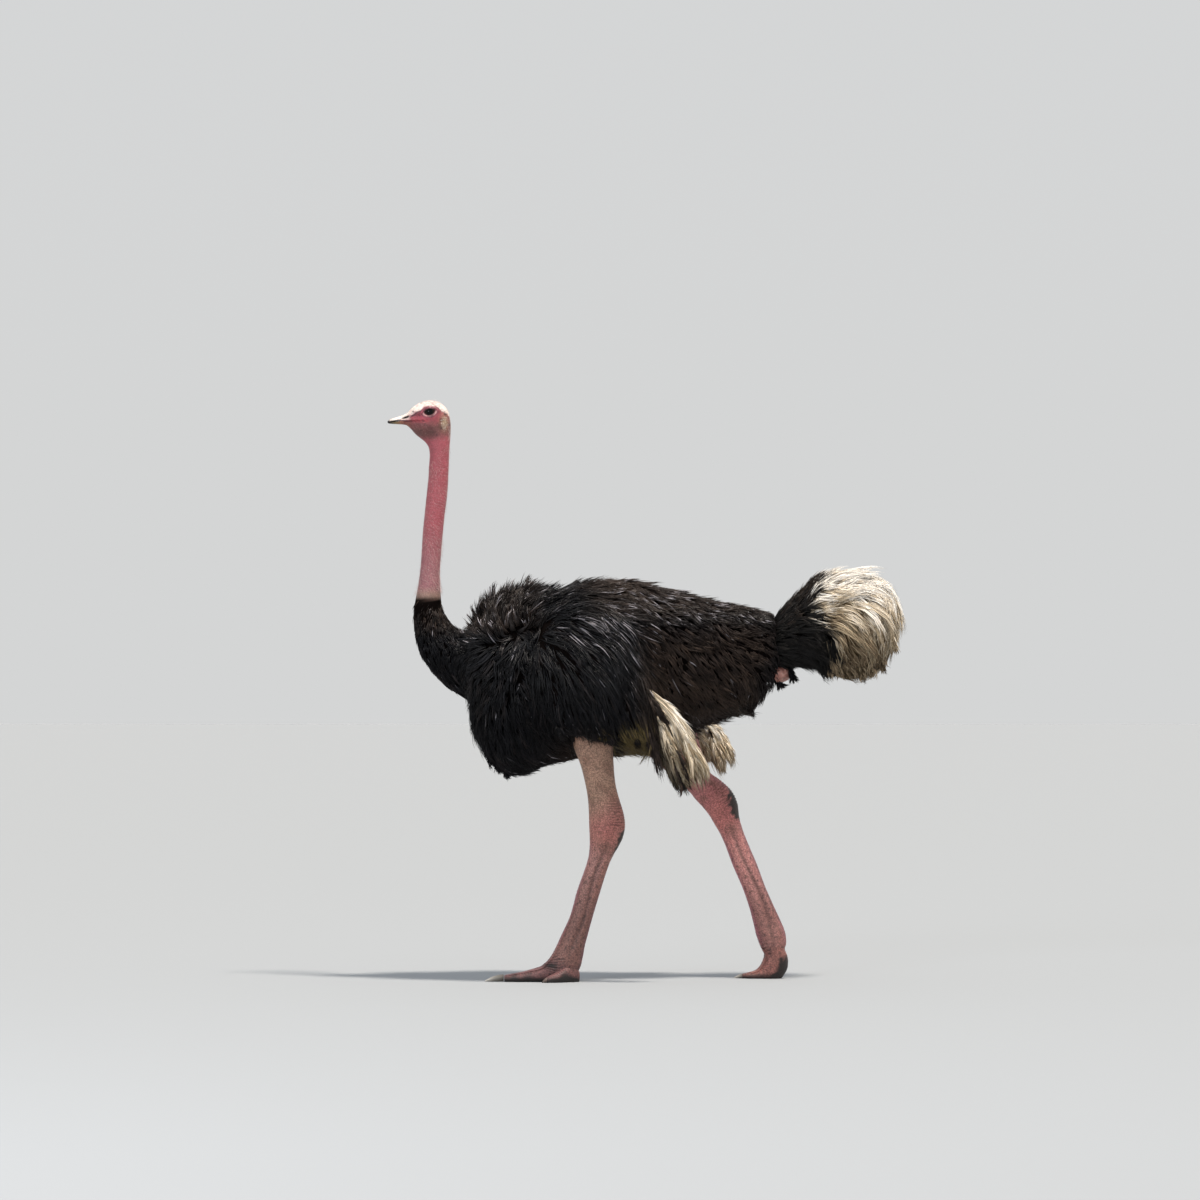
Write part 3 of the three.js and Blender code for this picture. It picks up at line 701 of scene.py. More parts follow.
def comb(surface, roots, guides, steps, depth, stretch=1.0, slack=0.0, top=4.0, sideways=0.35,
         unruly=1.0, lift=1.0):
    """Walks a guide strand from each root over the surface.

    Returns its points (count, steps + 1, 3) and the surface normals beside them. `depth` is
    how deep the root lies, `slack` how far a strand may hang free of the surface, `top` how
    high the tips may stand, `unruly` how much neighbouring locks part from each other.
    """
    spots, normals = surface.nearest(roots)
    _, lengths, raises = guides.at(spots)
    lengths = lengths * stretch * rng.uniform(0.72, 1.2, len(roots)) * (1 + 0.22 * drift(roots, 80, 3))
    raises = np.clip(lift * raises * (1 + 0.55 * drift(roots, 60, 5)), 0.02, 0.9)
    depth = depth(spots) if callable(depth) else np.full(len(roots), float(depth))
    place = spots - normals * depth[:, None]
    path, sides = [place], [normals]
    height = -depth
    swerve = rng.normal(0, 1, (len(roots), 1)) * (0.14 + 0.5 * raises ** 2)[:, None]
    swerve += unruly * (0.26 * drift(roots, 120, 1) + 0.16 * drift(roots, 42, 2))[:, None]
    whorl = np.exp(-((roots[:, 0] - WHORL[0]) ** 2 + (roots[:, 2] - WHORL[1]) ** 2) / 48 ** 2)
    swerve += rng.normal(0, 0.9, (len(roots), 1)) * whorl[:, None]
    for k in range(steps):
        heading, _, _ = guides.at(place)
        heading[:, 1] = sideways * np.sign(spots[:, 1]) * np.clip(normals[:, 2], 0, 1)
        heading += np.cross(normals, heading) * swerve
        heading -= normals * np.sum(heading * normals, 1)[:, None] * 0.9
        heading = unit(heading)
        step = (lengths / steps)[:, None]
        rise = raises * lengths / steps
        ahead = place + heading * step * np.sqrt(1 - np.clip(raises, 0, 0.95) ** 2)[:, None]
        spots, normals = surface.nearest(ahead)
        actual = np.sum((ahead - spots) * normals, 1)
        wanted = np.minimum(height + rise, top)
        height = np.maximum(wanted, np.minimum(actual, wanted + slack))
        moved = spots + normals * height[:, None]
        if k > 0:
            before = unit(place - path[-2])
            folded = np.sum(unit(moved - place) * before, 1) < 0.3
            moved[folded] = (place + unit(before * [1, 0.1, 1]) * step)[folded]
        place = moved
        path.append(place)
        sides.append(normals)
    return np.stack(path, 1), np.stack(sides, 1)


def tufts(path, sides, children, spread, width, gather=0.75, stray=6.0, wave=0.0, ragged=0.62):
    """Splits each guide strand into a tuft of finer ones that draw together towards the tip."""
    count, rings = path.shape[:2]
    steps = rings - 1
    along = np.diff(path, axis=1)
    tangent = unit(np.concatenate([along[:, :1], along], 1))
    across = unit(np.cross(tangent, sides))
    lift = unit(np.cross(across, tangent))
    n = count * children
    owner = np.repeat(np.arange(count), children)
    reach = rng.uniform(ragged, 1.08, n)
    s = np.linspace(0, 1, rings)[None, :] * reach[:, None]
    low = np.clip(np.floor(s * steps).astype(int), 0, steps - 1)
    f = (s * steps - low)[..., None]
    rows = owner[:, None]

    def along_path(values):
        return values[rows, low] * (1 - f) + values[rows, low + 1] * f

    centre, b, up = along_path(path), along_path(across), along_path(lift)
    offset = rng.uniform(-1, 1, (n, 2)) * spread
    closing = 1 - gather * s ** 0.8
    bend = rng.normal(0, stray, (n, 2))
    phase = rng.uniform(0, 2 * math.pi, count)[owner][:, None] + rng.normal(0, 0.35, (n, 1))
    curl = wave * np.sin(phase + s * 2 * math.pi * rng.uniform(0.8, 1.4, count)[owner][:, None]) * s
    sideways = offset[:, :1] * closing + bend[:, :1] * s ** 2 + curl
    upward = 0.45 * offset[:, 1:] * closing + 0.55 * bend[:, 1:] * s ** 2
    points = centre + b * sideways[..., None] + up * upward[..., None]
    widths = width * rng.uniform(0.7, 1.25, n)
    return points, b, up, widths, owner


# A strand's width at each ring, as a share of the full width, by its number of steps.
TAPER = {3: [0.75, 1.0, 0.72], 4: [0.7, 1.0, 0.9, 0.55], 5: [0.7, 1.0, 1.0, 0.8, 0.45],
         6: [0.7, 1.0, 1.0, 0.9, 0.7, 0.4], 2: [0.9, 0.8]}


BAKE_PATCH = 0.003                # side of one strand's patch, as a share of the bake map


def strand_mesh(name, points, across, up, widths, chart, attributes, slim=0.4):
    """One mesh of closed, tapered, three-sided strands, with its attributes and bake map."""
    n, rings = points.shape[:2]
    steps = rings - 1
    taper = np.array(TAPER[steps])
    half = widths[:, None, None] * taper[None, :, None] / 2
    body = points[:, :-1]
    b, u = across[:, :-1], up[:, :-1]
    ring = np.stack([body + b * half, body + u * half * 2 * slim, body - b * half], 2)
    verts = np.concatenate([ring.reshape(n, steps * 3, 3), points[:, -1:]], 1)
    per = steps * 3 + 1
    faces = [(0, 1, 2)]
    for k in range(steps - 1):
        for i in range(3):
            j = (i + 1) % 3
            p, q = k * 3 + i, k * 3 + j
            faces += [(p, p + 3, q), (q, p + 3, q + 3)]
    last = (steps - 1) * 3
    faces += [(last + i, per - 1, last + (i + 1) % 3) for i in range(3)]
    faces = np.array(faces)
    sample = verts[: min(n, 200)]
    tri = sample[:, faces] - sample[:, :1, None]
    volume = np.einsum("nfi,nfi->n", tri[:, :, 0], np.cross(tri[:, :, 1], tri[:, :, 2]))
    if np.median(volume) < 0:
        faces = faces[:, ::-1]
    all_faces = (faces[None] + np.arange(n)[:, None, None] * per).reshape(-1, 3)
    piece = mesh_object(name, verts.reshape(-1, 3), all_faces)
    along = np.concatenate([np.repeat(np.arange(steps) / steps, 3), [1.0]])
    add_attribute(piece, "along", np.tile(along, n))
    for key, values in attributes.items():
        values = np.asarray(values)
        spread = np.repeat(values, per) if values.ndim == 1 else values.reshape(-1)
        add_attribute(piece, key, spread)
    corner = np.concatenate([np.tile([0.0, 0.5, 1.0], steps), [0.5]])
    local = np.stack([corner, along], 1) * BAKE_PATCH
    uv = (chart[:, None, :] + local[None]).reshape(-1, 2)
    loops = np.empty(len(piece.data.loops), dtype=np.int32)
    piece.data.loops.foreach_get("vertex_index", loops)
    layer = piece.data.uv_layers.new(name="OFBake")
    layer.data.foreach_set("uv", uv[loops].astype(np.float32).ravel())
    return piece


def per_vertex(points, value):
    """Spreads a value for each path point to the three corners of its ring, and the tip."""
    n = len(points)
    return np.concatenate([np.repeat(value[:, :-1], 3, axis=1), value[:, -1:]], 1).reshape(n, -1)


def chart_of(t, a, last):
    """A root's place on the unrolled skin: round it in u, along it in v."""
    return np.stack([0.01 + 0.97 * ((a / (2 * math.pi)) % 1), 0.01 + 0.97 * np.clip(t / last, 0, 1)], 1)


# -------- plumage: the guides
BODY_GUIDES = Guides([
    # neck foot
    [-740, 1340, 0.05, -1, 42, 0.25],
    [-780, 1290, 0.0, -1, 46, 0.25],
    [-790, 1180, 0.3, -0.95, 55, 0.2],
    [-735, 1110, 0.5, -0.85, 60, 0.2],
    [-690, 1240, 0.5, -0.85, 50, 0.2],
    [-660, 1050, 0.4, -0.9, 70, 0.2],
    # mantle
    [-640, 1240, -0.75, 0.3, 62, 0.55],
    [-618, 1320, -0.3, 0.9, 66, 0.62],
    [-570, 1385, 0.3, 0.95, 68, 0.66],
    [-498, 1405, 0.6, 0.8, 70, 0.62],
    [-414, 1430, 0.9, 0.5, 72, 0.5],
    [-318, 1430, 1.0, 0.1, 78, 0.28],
    [-470, 1320, 0.35, 0.95, 76, 0.6],
    [-540, 1290, -0.35, 0.85, 68, 0.6],
    [-400, 1350, 0.75, 0.7, 86, 0.45],
    [-545, 1235, -0.75, 0.2, 62, 0.55],
    [-500, 1262, -0.25, 0.95, 66, 0.6],
    [-440, 1300, 0.3, 0.95, 72, 0.6],
    [-375, 1305, 0.9, 0.35, 90, 0.42],
    [-345, 1262, 0.85, -0.5, 110, 0.2],
    # wing
    [-342, 1340, 0.9, 0.5, 110, 0.25],
    [-234, 1352, 1.0, -0.1, 130, 0.16],
    [-138, 1298, 0.8, -0.6, 150, 0.16],
    [-66, 1190, 0.5, -0.85, 160, 0.14],
    [-18, 1070, 0.3, -0.95, 160, 0.14],
    [20, 914, 0.25, -0.97, 150, 0.1],
    [-258, 1250, 0.85, -0.5, 130, 0.14],
    [-198, 1130, 0.6, -0.8, 150, 0.12],
    [-162, 986, 0.3, -0.95, 150, 0.12],
    [-405, 1240, 0.35, -0.94, 96, 0.22],
    [-378, 1190, 0.4, -0.92, 110, 0.16],
    [-300, 1060, 0.3, -0.95, 130, 0.12],
    # breast
    [-470, 1215, 0.05, -1, 84, 0.3],
    [-530, 1175, -0.2, -0.98, 86, 0.3],
    [-600, 1150, -0.8, -0.6, 66, 0.4],
    [-618, 1040, -0.45, -0.9, 80, 0.3],
    [-600, 930, 0.0, -1, 100, 0.2],
    [-498, 866, 0.25, -0.97, 100, 0.14],
    [-560, 800, 0.3, -0.95, 84, 0.14],
    [-510, 752, 0.5, -0.86, 66, 0.2],
    [-450, 736, 0.8, -0.6, 46, 0.24],
    [-370, 752, 0.9, -0.35, 44, 0.2],
    [-290, 785, 0.9, -0.3, 44, 0.16],
    [-378, 842, 0.4, -0.9, 90, 0.14],
    [-378, 986, 0.15, -0.99, 120, 0.12],
    [-240, 830, 0.5, -0.87, 80, 0.14],
    # back, flank and rump
    [-150, 1435, 1.0, -0.1, 64, 0.16],
    [-78, 1400, 0.95, -0.3, 60, 0.2],
    [42, 1310, 0.85, -0.5, 58, 0.2],
    [162, 1286, 0.85, -0.5, 56, 0.22],
    [342, 1310, 0.95, -0.3, 54, 0.2],
    [30, 1180, 0.7, -0.7, 66, 0.16],
    [102, 1106, 0.6, -0.8, 76, 0.14],
    [282, 1100, 0.65, -0.75, 72, 0.16],
    [402, 1010, 0.5, -0.85, 74, 0.3],
    [198, 950, 0.5, -0.87, 76, 0.22],
    [20, 880, 0.45, -0.9, 76, 0.2],
    [462, 1190, 0.9, -0.4, 62, 0.18],
])
TAIL_GUIDES = Guides([
    [462, 1260, 0.9, 0.35, 70, 0.2],
    [510, 1334, 0.75, 0.66, 90, 0.2],
    [558, 1400, 0.7, 0.72, 100, 0.2],
    [630, 1460, 0.8, 0.6, 120, 0.2],
    [702, 1478, 0.95, 0.3, 150, 0.2],
    [810, 1466, 0.9, -0.4, 160, 0.1],
    [890, 1410, 0.4, -0.9, 150, 0.1],
    [924, 1334, 0.1, -1, 130, 0.16],
    [908, 1230, 0.12, -1, 104, 0.2],
    [872, 1160, 0.2, -1, 80, 0.2],
    [836, 1112, 0.2, -0.98, 46, 0.1],
    [785, 1092, 0.2, -0.98, 36, 0.16],
    [722, 1086, 0.2, -0.98, 40, 0.24],
    [822, 1190, 0.1, -1, 84, 0.16],
    [738, 1140, 0.25, -0.97, 70, 0.24],
    [642, 1130, 0.5, -0.85, 70, 0.3],
    [570, 1190, 0.9, -0.4, 80, 0.2],
    [582, 1286, 1.0, 0.1, 110, 0.16],
    [678, 1310, 0.95, -0.25, 150, 0.14],
    [762, 1310, 0.75, -0.65, 160, 0.12],
    [822, 1250, 0.25, -0.95, 150, 0.12],
    [702, 1382, 0.95, 0.25, 160, 0.14],
    [798, 1394, 0.85, -0.5, 170, 0.12],
    [702, 1214, 0.6, -0.8, 130, 0.16],
])


# -------- plumage: growing
body_surface = Surface([
    sweep_body("outer_trunk", trunk_sweep, 16, 80),
    *[sweep_body("outer_wing", s, 14, 48) for s in wing_sweeps.values()],
])
neck_foot_sweep = Sweep(NECK, square=2.12, bias=0.03)
neck_surface = Surface([sweep_body("outer_neck", neck_foot_sweep, 12, 48)])
tail_surface = Surface([sweep_body("outer_tail", tail_sweep, 14, 64)])

black_plumage = bpy.data.materials.new("black body feathers")
pale_plumage = bpy.data.materials.new("pale plumes")


def painted(points, owner, paint):
    """Attribute values for every vertex: `lock` differs by tuft and `jitter` by strand."""
    lock = rng.random(owner.max() + 1)[owner][:, None]
    jitter = rng.random((len(points), 1))
    rules = {"shade": plain_shade, **paint}
    return {key: per_vertex(points, rule(points, jitter, lock)) for key, rule in rules.items()}


def plain_shade(points, jitter, lock):
    """Locks of black that differ a little, each nearly one tone."""
    return np.clip(0.75 * lock + 0.25 * jitter, 0, 1) * np.ones(points.shape[:2])


def glint(points, jitter, lock):
    """Painted highlights: strands coloured pale where they would catch the light, many on the back, the
    bend of the wing and the mantle.
    """
    x, z = points[..., 0], points[..., 2]
    tufts_lit = 0.34 * smooth(1255, 1320, z) * smooth(-180, -60, x)
    tufts_lit *= 0.6 + 0.5 * drift(points, 90, 31)
    tufts_lit += 0.1 * smooth(1200, 1280, z) * smooth(-250, -330, x) * smooth(-690, -650, x)
    strands_lit = 0.01 + 0.3 * blot(x, z, -130, 1270, 120, 70) + 0.16 * blot(x, z, -48, 1110, 30, 110)
    along = np.linspace(0, 1, points.shape[1])
    lit = (lock > 1 - tufts_lit) * np.clip(1.6 * jitter - 0.5, 0, 1) * smooth(0.3, 0.8, along)
    return np.maximum(lit, (jitter > 1 - strands_lit) * np.sin(np.pi * along ** 0.8) * lock)


def gloss(points, jitter, lock):
    """Glossy on the wing, mantle and back, dull in the lee of the wing and on the flank."""
    x, z = points[..., 0], points[..., 2]
    lee = smooth(0, 30, x - np.interp(z, [860, 1060, 1190, 1290, 1380], [40, 20, -10, -60, -160]))
    dull = lee * smooth(1330, 1260, z)
    low = smooth(1150, 900, z) + smooth(-640, -700, x)
    return 0.24 - 0.16 * np.maximum(dull, np.clip(low, 0, 1) * 0.7)


def rust(points, jitter, lock):
    """Worn, faded brown on the flank, rump, belly and ruffled shoulder, and painted sheen that lightens
    the crest and top of the back.
    """
    x, z = points[..., 0], points[..., 2]
    mottle = smooth(-0.1, 0.7, drift(points, 120, 33))
    # the flank: its own dull brown, lightened further as painted light where it lies in the lee of the
    # wing
    flank = smooth(-60, 40, x) * smooth(1330, 1180, z) * smooth(500, 340, x)
    flank *= 0.3 + 0.45 * lock + 0.4 * mottle
    # the top and crest of the back: painted sheen, lighter where the sun falls on them
    back = smooth(-260, -80, x) * smooth(1280, 1350, z) * (0.4 + 0.6 * lock)
    crest = blot(x, z, -90, 1425, 150, 40)
    rump = blot(x, z, 410, 1230, 110, 70)
    belly = blot(x, z, -210, 805, 100, 60)
    ruffled = smooth(-330, -420, x) * smooth(1225, 1290, z) * (0.15 + 0.55 * lock)
    faded = smooth(0.75, 1.0, lock)
    # worn brown and painted sheen together
    worn = flank + back + 0.4 * crest + 0.15 * rump
    return np.clip(0.3 * faded + worn + 0.8 * belly + ruffled, 0, 1)


def olive(points, jitter, lock):
    """The olive down that shows behind the left thigh, under the edge of the wing."""
    x, z = points[..., 0], points[..., 2]
    x = x + (jitter - 0.5) * 44 + (lock - 0.5) * 30
    patch = smooth(-96, -70, x) * smooth(16, -6, x) * smooth(925, 890, z + (jitter - 0.5) * 60)
    streaks = smooth(-170, -150, x) * smooth(0.8, 0.86, lock) * smooth(905, 880, z) * smooth(30, 0, x)
    return np.clip(patch + streaks, 0, 1)


BLACK_PAINT = {"glint": glint, "gloss": gloss, "rust": rust, "olive": olive}


def grow(name, surface, sweep, guides, count, t_range, a_range=(0, 2 * math.pi), keep=None,
         steps=4, depth=18.0, stretch=1.0, slack=0.0, top=4.0, sideways=0.35, children=6,
         spread=9.0, width=5.0, gather=0.75, stray=6.0, wave=0.0, ragged=0.62, unruly=1.0,
         lift=1.0, material=None, paint=None, slim=0.4):
    """Grows one piece of plumage from roots scattered over a sweep."""
    t, a = even_roots(sweep, count, t_range, a_range)
    roots = sweep.point(t, a)
    if keep is not None:
        kept = keep(roots)
        t, a, roots = t[kept], a[kept], roots[kept]
    path, sides = comb(surface, roots, guides, steps, depth, stretch, slack, top, sideways, unruly, lift)
    points, across, up, widths, owner = tufts(path, sides, children, spread, width, gather, stray,
                                              wave, ragged)
    piece = strand_mesh(name, points, across, up, widths, chart_of(t, a, sweep.last)[owner],
                        painted(points, owner, paint or BLACK_PAINT), slim)
    piece.data.materials.append(material or black_plumage)
    return piece


WING_TREES = [Surface([sweep_body("wing_copy", s, 14, 40)]) for s in wing_sweeps.values()]
SHOULDER_X = -285                 # mantle and breast lie in front of it, back and flank behind
BREAST_TOP_Z = 1190
FLANK_TOP_Z = 1230


def outside_wings(roots):
    """Trunk roots that no wing covers, off the bare vent."""
    keep = np.linalg.norm((roots - VENT) / VENT_SIZE, axis=1) > 1.15
    for wing in WING_TREES:
        spots, normals = wing.nearest(roots)
        keep &= np.sum((roots - spots) * normals, 1) > -6
    return keep


def in_mantle(roots):
    return (roots[:, 0] < SHOULDER_X) & (roots[:, 2] > BREAST_TOP_Z) & outside_wings(roots)


def in_breast(roots):
    return (roots[:, 0] < SHOULDER_X) & (roots[:, 2] <= BREAST_TOP_Z) & outside_wings(roots)


def on_back(roots):
    return (roots[:, 0] >= SHOULDER_X) & (roots[:, 2] > FLANK_TOP_Z) & outside_wings(roots)


def on_flank(roots):
    return (roots[:, 0] >= SHOULDER_X) & (roots[:, 2] <= FLANK_TOP_Z) & outside_wings(roots)


def on_outer_face(roots):
    """The outer face of a wing; the inner one lies against the body."""
    return np.abs(roots[:, 1]) > 190


def mantle_depth(points):
    """Roots lie deep where the skin lies deep, over the shoulder."""
    return 16 + 26 * smooth(-270, -360, points[:, 0]) * smooth(1180, 1300, points[:, 2])


def neck_tan(points, jitter, lock):
    """The highest feathers of the neck are tan; the colour fades out below them."""
    return smooth(1352, 1392, points[..., 2] + (jitter - 0.5) * 40) * 0.9


coat = [
    grow("mantle", body_surface, trunk_sweep, BODY_GUIDES, 3700, (0, 9.5), keep=in_mantle,
         depth=mantle_depth, stretch=1.12, top=30, children=7, spread=11, width=5.4, gather=0.9,
         stray=9),
    grow("breast", body_surface, trunk_sweep, BODY_GUIDES, 3200, (0, 9.5), keep=in_breast,
         depth=20, slack=50, top=6, children=6, spread=11, width=4.6, gather=0.8, stray=9,
         unruly=0.6),
    grow("back", body_surface, trunk_sweep, BODY_GUIDES, 4080, (7.5, 18), keep=on_back,
         steps=3, depth=14, top=12, children=6, spread=9, width=4.4, gather=0.88, stray=7),
    grow("flank", body_surface, trunk_sweep, BODY_GUIDES, 3550, (7.5, 18), keep=on_flank,
         steps=3, depth=16, slack=40, top=6, children=6, spread=10, width=4.6, gather=0.8, stray=8,
         unruly=0.8),
    grow("neck_feathers", neck_surface, neck_foot_sweep, BODY_GUIDES, 1050, (6.75, 14.8),
         steps=3, depth=8, stretch=0.85, children=6, spread=8, width=3.6, stray=4, lift=0.5,
         gather=0.6,
         paint={"glint": glint, "gloss": gloss, "rust": rust, "tan": neck_tan}),
]
for side, sweep in wing_sweeps.items():
    coat.append(grow(f"wing_feathers_{side}", body_surface, sweep, BODY_GUIDES, 1230, (0.05, 7.9),
                     keep=on_outer_face, steps=4, depth=16, slack=70, top=12, children=5,
                     spread=11, width=4.6, gather=0.85, stray=10, unruly=0.45))


def tail_edge(z):
    """Where the tail's black base gives way to cream, by height."""
    return np.interp(z, [1082, 1101, 1161, 1210, 1253, 1286, 1335, 1405, 1471],
                     [665, 668, 702, 680, 684, 650, 618, 626, 650])


def paleness(points, jitter, lock):
    """1 where the tail's plumes are cream, 0 on its black base."""
    x, z = points[..., 0], points[..., 2]
    return smooth(-10, 10, x - tail_edge(z) + (lock - 0.5) * 56 + (jitter - 0.5) * 30)


def tail_light(points, jitter, lock):
    """Painted light and shade: white on the crown of the tail and its upper rear, where the sun falls,
    tan in its middle, olive brown along the lower edge, partly stained and partly painted shade,
    and painted shade towards each strand's root.
    """
    x, z = points[..., 0], points[..., 2]
    base = np.interp(z + 0.1 * (x - 780), [1085, 1150, 1200, 1270, 1350, 1410],
                     [0.04, 0.2, 0.36, 0.54, 0.76, 1.02])
    base += 0.2 * smooth(870, 920, x) * smooth(1200, 1300, z)
    root = smooth(0.45, 0.0, np.linspace(0, 1, points.shape[1]))
    return np.clip(base + 0.62 * (lock - 0.45) + 0.2 * (jitter - 0.5) - 0.35 * root, 0, 1)


TAIL_PAINT = {"shade": tail_light, "pale": paleness}
coat.append(grow("tail_plumes", tail_surface, tail_sweep, TAIL_GUIDES, 430, (2.4, 11),
                 steps=4, depth=22, slack=40, sideways=0.12, children=18, spread=17, width=3.6,
                 top=30, gather=0.62, stray=9, wave=7, ragged=0.5, unruly=1.2,
                 material=pale_plumage, paint=TAIL_PAINT))
coat.append(grow("tail_base", tail_surface, tail_sweep, TAIL_GUIDES, 480, (0, 3.4),
                 steps=4, depth=18, slack=30, children=7, spread=11, width=5, top=16, gather=0.7,
                 stray=9, wave=4, material=pale_plumage, paint=TAIL_PAINT))

# -------- plumage: hanging wing plumes
# Each plume is a row of [x, z, width] along its shaft, and its distance out from the middle.
LEFT_WHITES = [
    ([[2, 1062, 10], [30, 1026, 34], [75, 981, 52], [127, 912, 66], [163, 835, 74], [193, 760, 74],
      [209, 696, 40]], 254),
    ([[38, 960, 16], [55, 925, 38], [70, 880, 56], [93, 823, 64], [124, 757, 60],
      [154, 690, 30]], 262),
    ([[30, 930, 20], [52, 860, 46], [80, 800, 56], [108, 745, 54], [134, 694, 34]], 244),
]
LEFT_BLACKS = [
    ([[-30, 1110, 30], [-6, 1010, 34], [6, 930, 38], [26, 850, 38], [46, 790, 30], [60, 734, 8]], 266),
    ([[-10, 1080, 24], [22, 1010, 30], [58, 955, 22], [84, 922, 6]], 268),
    ([[84, 904, 5], [112, 836, 10], [137, 776, 11], [158, 716, 4]], 276),
    ([[92, 820, 6], [116, 750, 10], [132, 700, 7], [122, 668, 3]], 272),
    ([[-80, 1000, 50], [-58, 930, 46], [-40, 880, 34], [-22, 836, 10]], 262),
    ([[-322, 960, 40], [-306, 915, 34], [-292, 872, 10]], 262),
    ([[-262, 960, 44], [-250, 915, 40], [-240, 878, 12]], 266),
    ([[-206, 960, 44], [-190, 915, 40], [-178, 866, 10]], 266),
    ([[-150, 960, 44], [-132, 905, 38], [-118, 850, 10]], 266),
]
RIGHT_WHITES = [
    ([[150, 1010, 40], [205, 930, 46], [240, 880, 60], [262, 820, 70], [280, 762, 46],
      [288, 730, 14]], 246),
    ([[170, 990, 30], [230, 926, 40], [268, 880, 46], [298, 830, 44], [318, 784, 22],
      [322, 764, 6]], 256),
    ([[120, 980, 40], [180, 900, 50], [215, 840, 60], [238, 768, 44]], 238),
]
VENT_TUFTS = [
    ([[424, 1180, 40], [434, 1136, 36], [446, 1098, 20]], 52),
    ([[466, 1180, 30], [476, 1160, 26], [486, 1138, 12]], 44),
    ([[508, 1150, 20], [524, 1110, 30], [542, 1066, 34]], 30),
    ([[470, 1100, 20], [486, 1072, 36], [500, 1046, 46]], 16),
]
TAIL_TIPS = [
    ([[850, 1290, 50], [888, 1232, 40], [903, 1174, 14]], 52),
    ([[806, 1220, 50], [846, 1160, 40], [862, 1104, 14]], 62),
    ([[766, 1190, 50], [806, 1130, 38], [822, 1086, 16]], 76),
    ([[736, 1170, 50], [772, 1118, 40], [788, 1078, 14]], 84),
    ([[690, 1170, 50], [718, 1118, 38], [732, 1080, 14]], 84),
    ([[640, 1160, 44], [662, 1118, 36], [674, 1088, 14]], 76),
]
BREAST_TIPS = [
    ([[-580, 850, 40], [-562, 806, 34], [-548, 768, 10]], 34),
    ([[-552, 810, 44], [-534, 774, 36], [-514, 740, 10]], 30),
    ([[-526, 800, 50], [-508, 762, 40], [-486, 724, 12]], 22),
    ([[-486, 790, 38], [-470, 766, 26], [-450, 740, 5]], 30),
    ([[-440, 796, 36], [-424, 776, 26], [-400, 752, 5]], 26),
    ([[-392, 812, 34], [-374, 794, 24], [-348, 772, 5]], 30),
    ([[-330, 826, 34], [-312, 808, 24], [-284, 785, 5]], 34),
]
RIGHT_BLACKS = [
    ([[20, 1060, 40], [80, 990, 50], [130, 920, 40], [150, 870, 14]], 262),
    ([[-50, 1000, 50], [-30, 930, 46], [0, 870, 30], [10, 830, 10]], 258),
    ([[232, 900, 3], [258, 850, 5], [278, 800, 4], [286, 764, 3]], 260),
    ([[-262, 960, 44], [-250, 915, 40], [-240, 878, 12]], 266),
    ([[-150, 960, 44], [-132, 905, 38], [-118, 850, 10]], 266),
]


def plume_paths(plume, side, count, steps):
    """Barbs that leave a plume's shaft, bend to run along it and end ragged."""
    rows, out = plume
    rows = np.array(rows, float)
    spine = shaft_curve(rows)
    start = rng.uniform(0, 0.8, count)
    stop = np.minimum(start + rng.uniform(0.24, 0.5, count), rng.uniform(0.9, 1.05, count))
    s = np.linspace(0, 1, steps + 1)[None]
    t = start[:, None] + (stop - start)[:, None] * s
    u = rng.uniform(-1, 1, count)[:, None]
    v = rng.uniform(-1, 1, count)[:, None]
    centre, slope, width = spine(t)
    wave = rng.uniform(2, 7, (count, 1)) * np.sin(s * 5 + rng.uniform(0, 6.28, (count, 1))) * s
    lateral = u * width / 2 * (0.25 + 0.85 * s ** 0.6) + wave
    ripple = rng.uniform(1, 6, (count, 1)) * np.sin(4 * s + rng.uniform(0, 6.28, (count, 1)))
    depth = 15 * v * (1 - 0.3 * t) + 5 * s + ripple - 30 * smooth(0.55, 0, t)
    x = centre[..., 0] - slope[..., 1] * lateral
    z = centre[..., 1] + slope[..., 0] * lateral
    points = np.stack([x, side * (out + depth), z], 2)
    sides = np.zeros_like(points)
    sides[..., 1] = side
    chart = np.stack([0.02 + 0.9 * (0.5 + 0.5 * u[:, 0]), 0.02 + 0.9 * start], 1)
    return points, sides, chart


def shaft_curve(rows):
    """Reads [x, z, width] rows as a smooth curve: place, unit slope and width at 0 to 1."""
    knots = np.concatenate([[0], np.cumsum(np.linalg.norm(np.diff(rows[:, :2], axis=0), axis=1))])
    knots /= knots[-1]
    fine = np.linspace(0, 1, 81)
    values = np.stack([np.interp(fine, knots, rows[:, i]) for i in range(3)], 1)
    for _ in range(6):
        values[1:-1] = 0.25 * values[:-2] + 0.5 * values[1:-1] + 0.25 * values[2:]
    slopes = unit(np.gradient(values[:, :2], axis=0))
    length = np.sum(np.linalg.norm(np.diff(values[:, :2], axis=0), axis=1))

    def at(t):
        inside = np.clip(t, 0, 1)
        place = np.stack([np.interp(inside, fine, values[:, i]) for i in range(2)], -1)
        slope = unit(np.stack([np.interp(inside, fine, slopes[:, i]) for i in range(2)], -1))
        beyond = (t - inside)[..., None] * length
        return place + slope * beyond, slope, np.interp(inside, fine, values[:, 2])

    return at


def hang(name, plumes, side, count, material, children=6, spread=5.0, width=4.5, steps=5, stray=5.0,
         paint=None):
    """One piece of hanging plumes on one wing."""
    broadest = [max(row[2] for row in rows) for rows, _ in plumes]
    parts = [plume_paths(plume, side, max(9, round(count * min(1, w / 40))), steps)
             for plume, w in zip(plumes, broadest)]
    path, sides, chart = (np.concatenate([p[i] for p in parts]) for i in range(3))
    points, across, up, widths, owner = tufts(path, sides, children, spread, width, 0.6, stray,
                                              wave=2.5)
    piece = strand_mesh(name, points, across, up, widths, chart[owner], painted(points, owner, paint))
    piece.data.materials.append(material)
    return piece


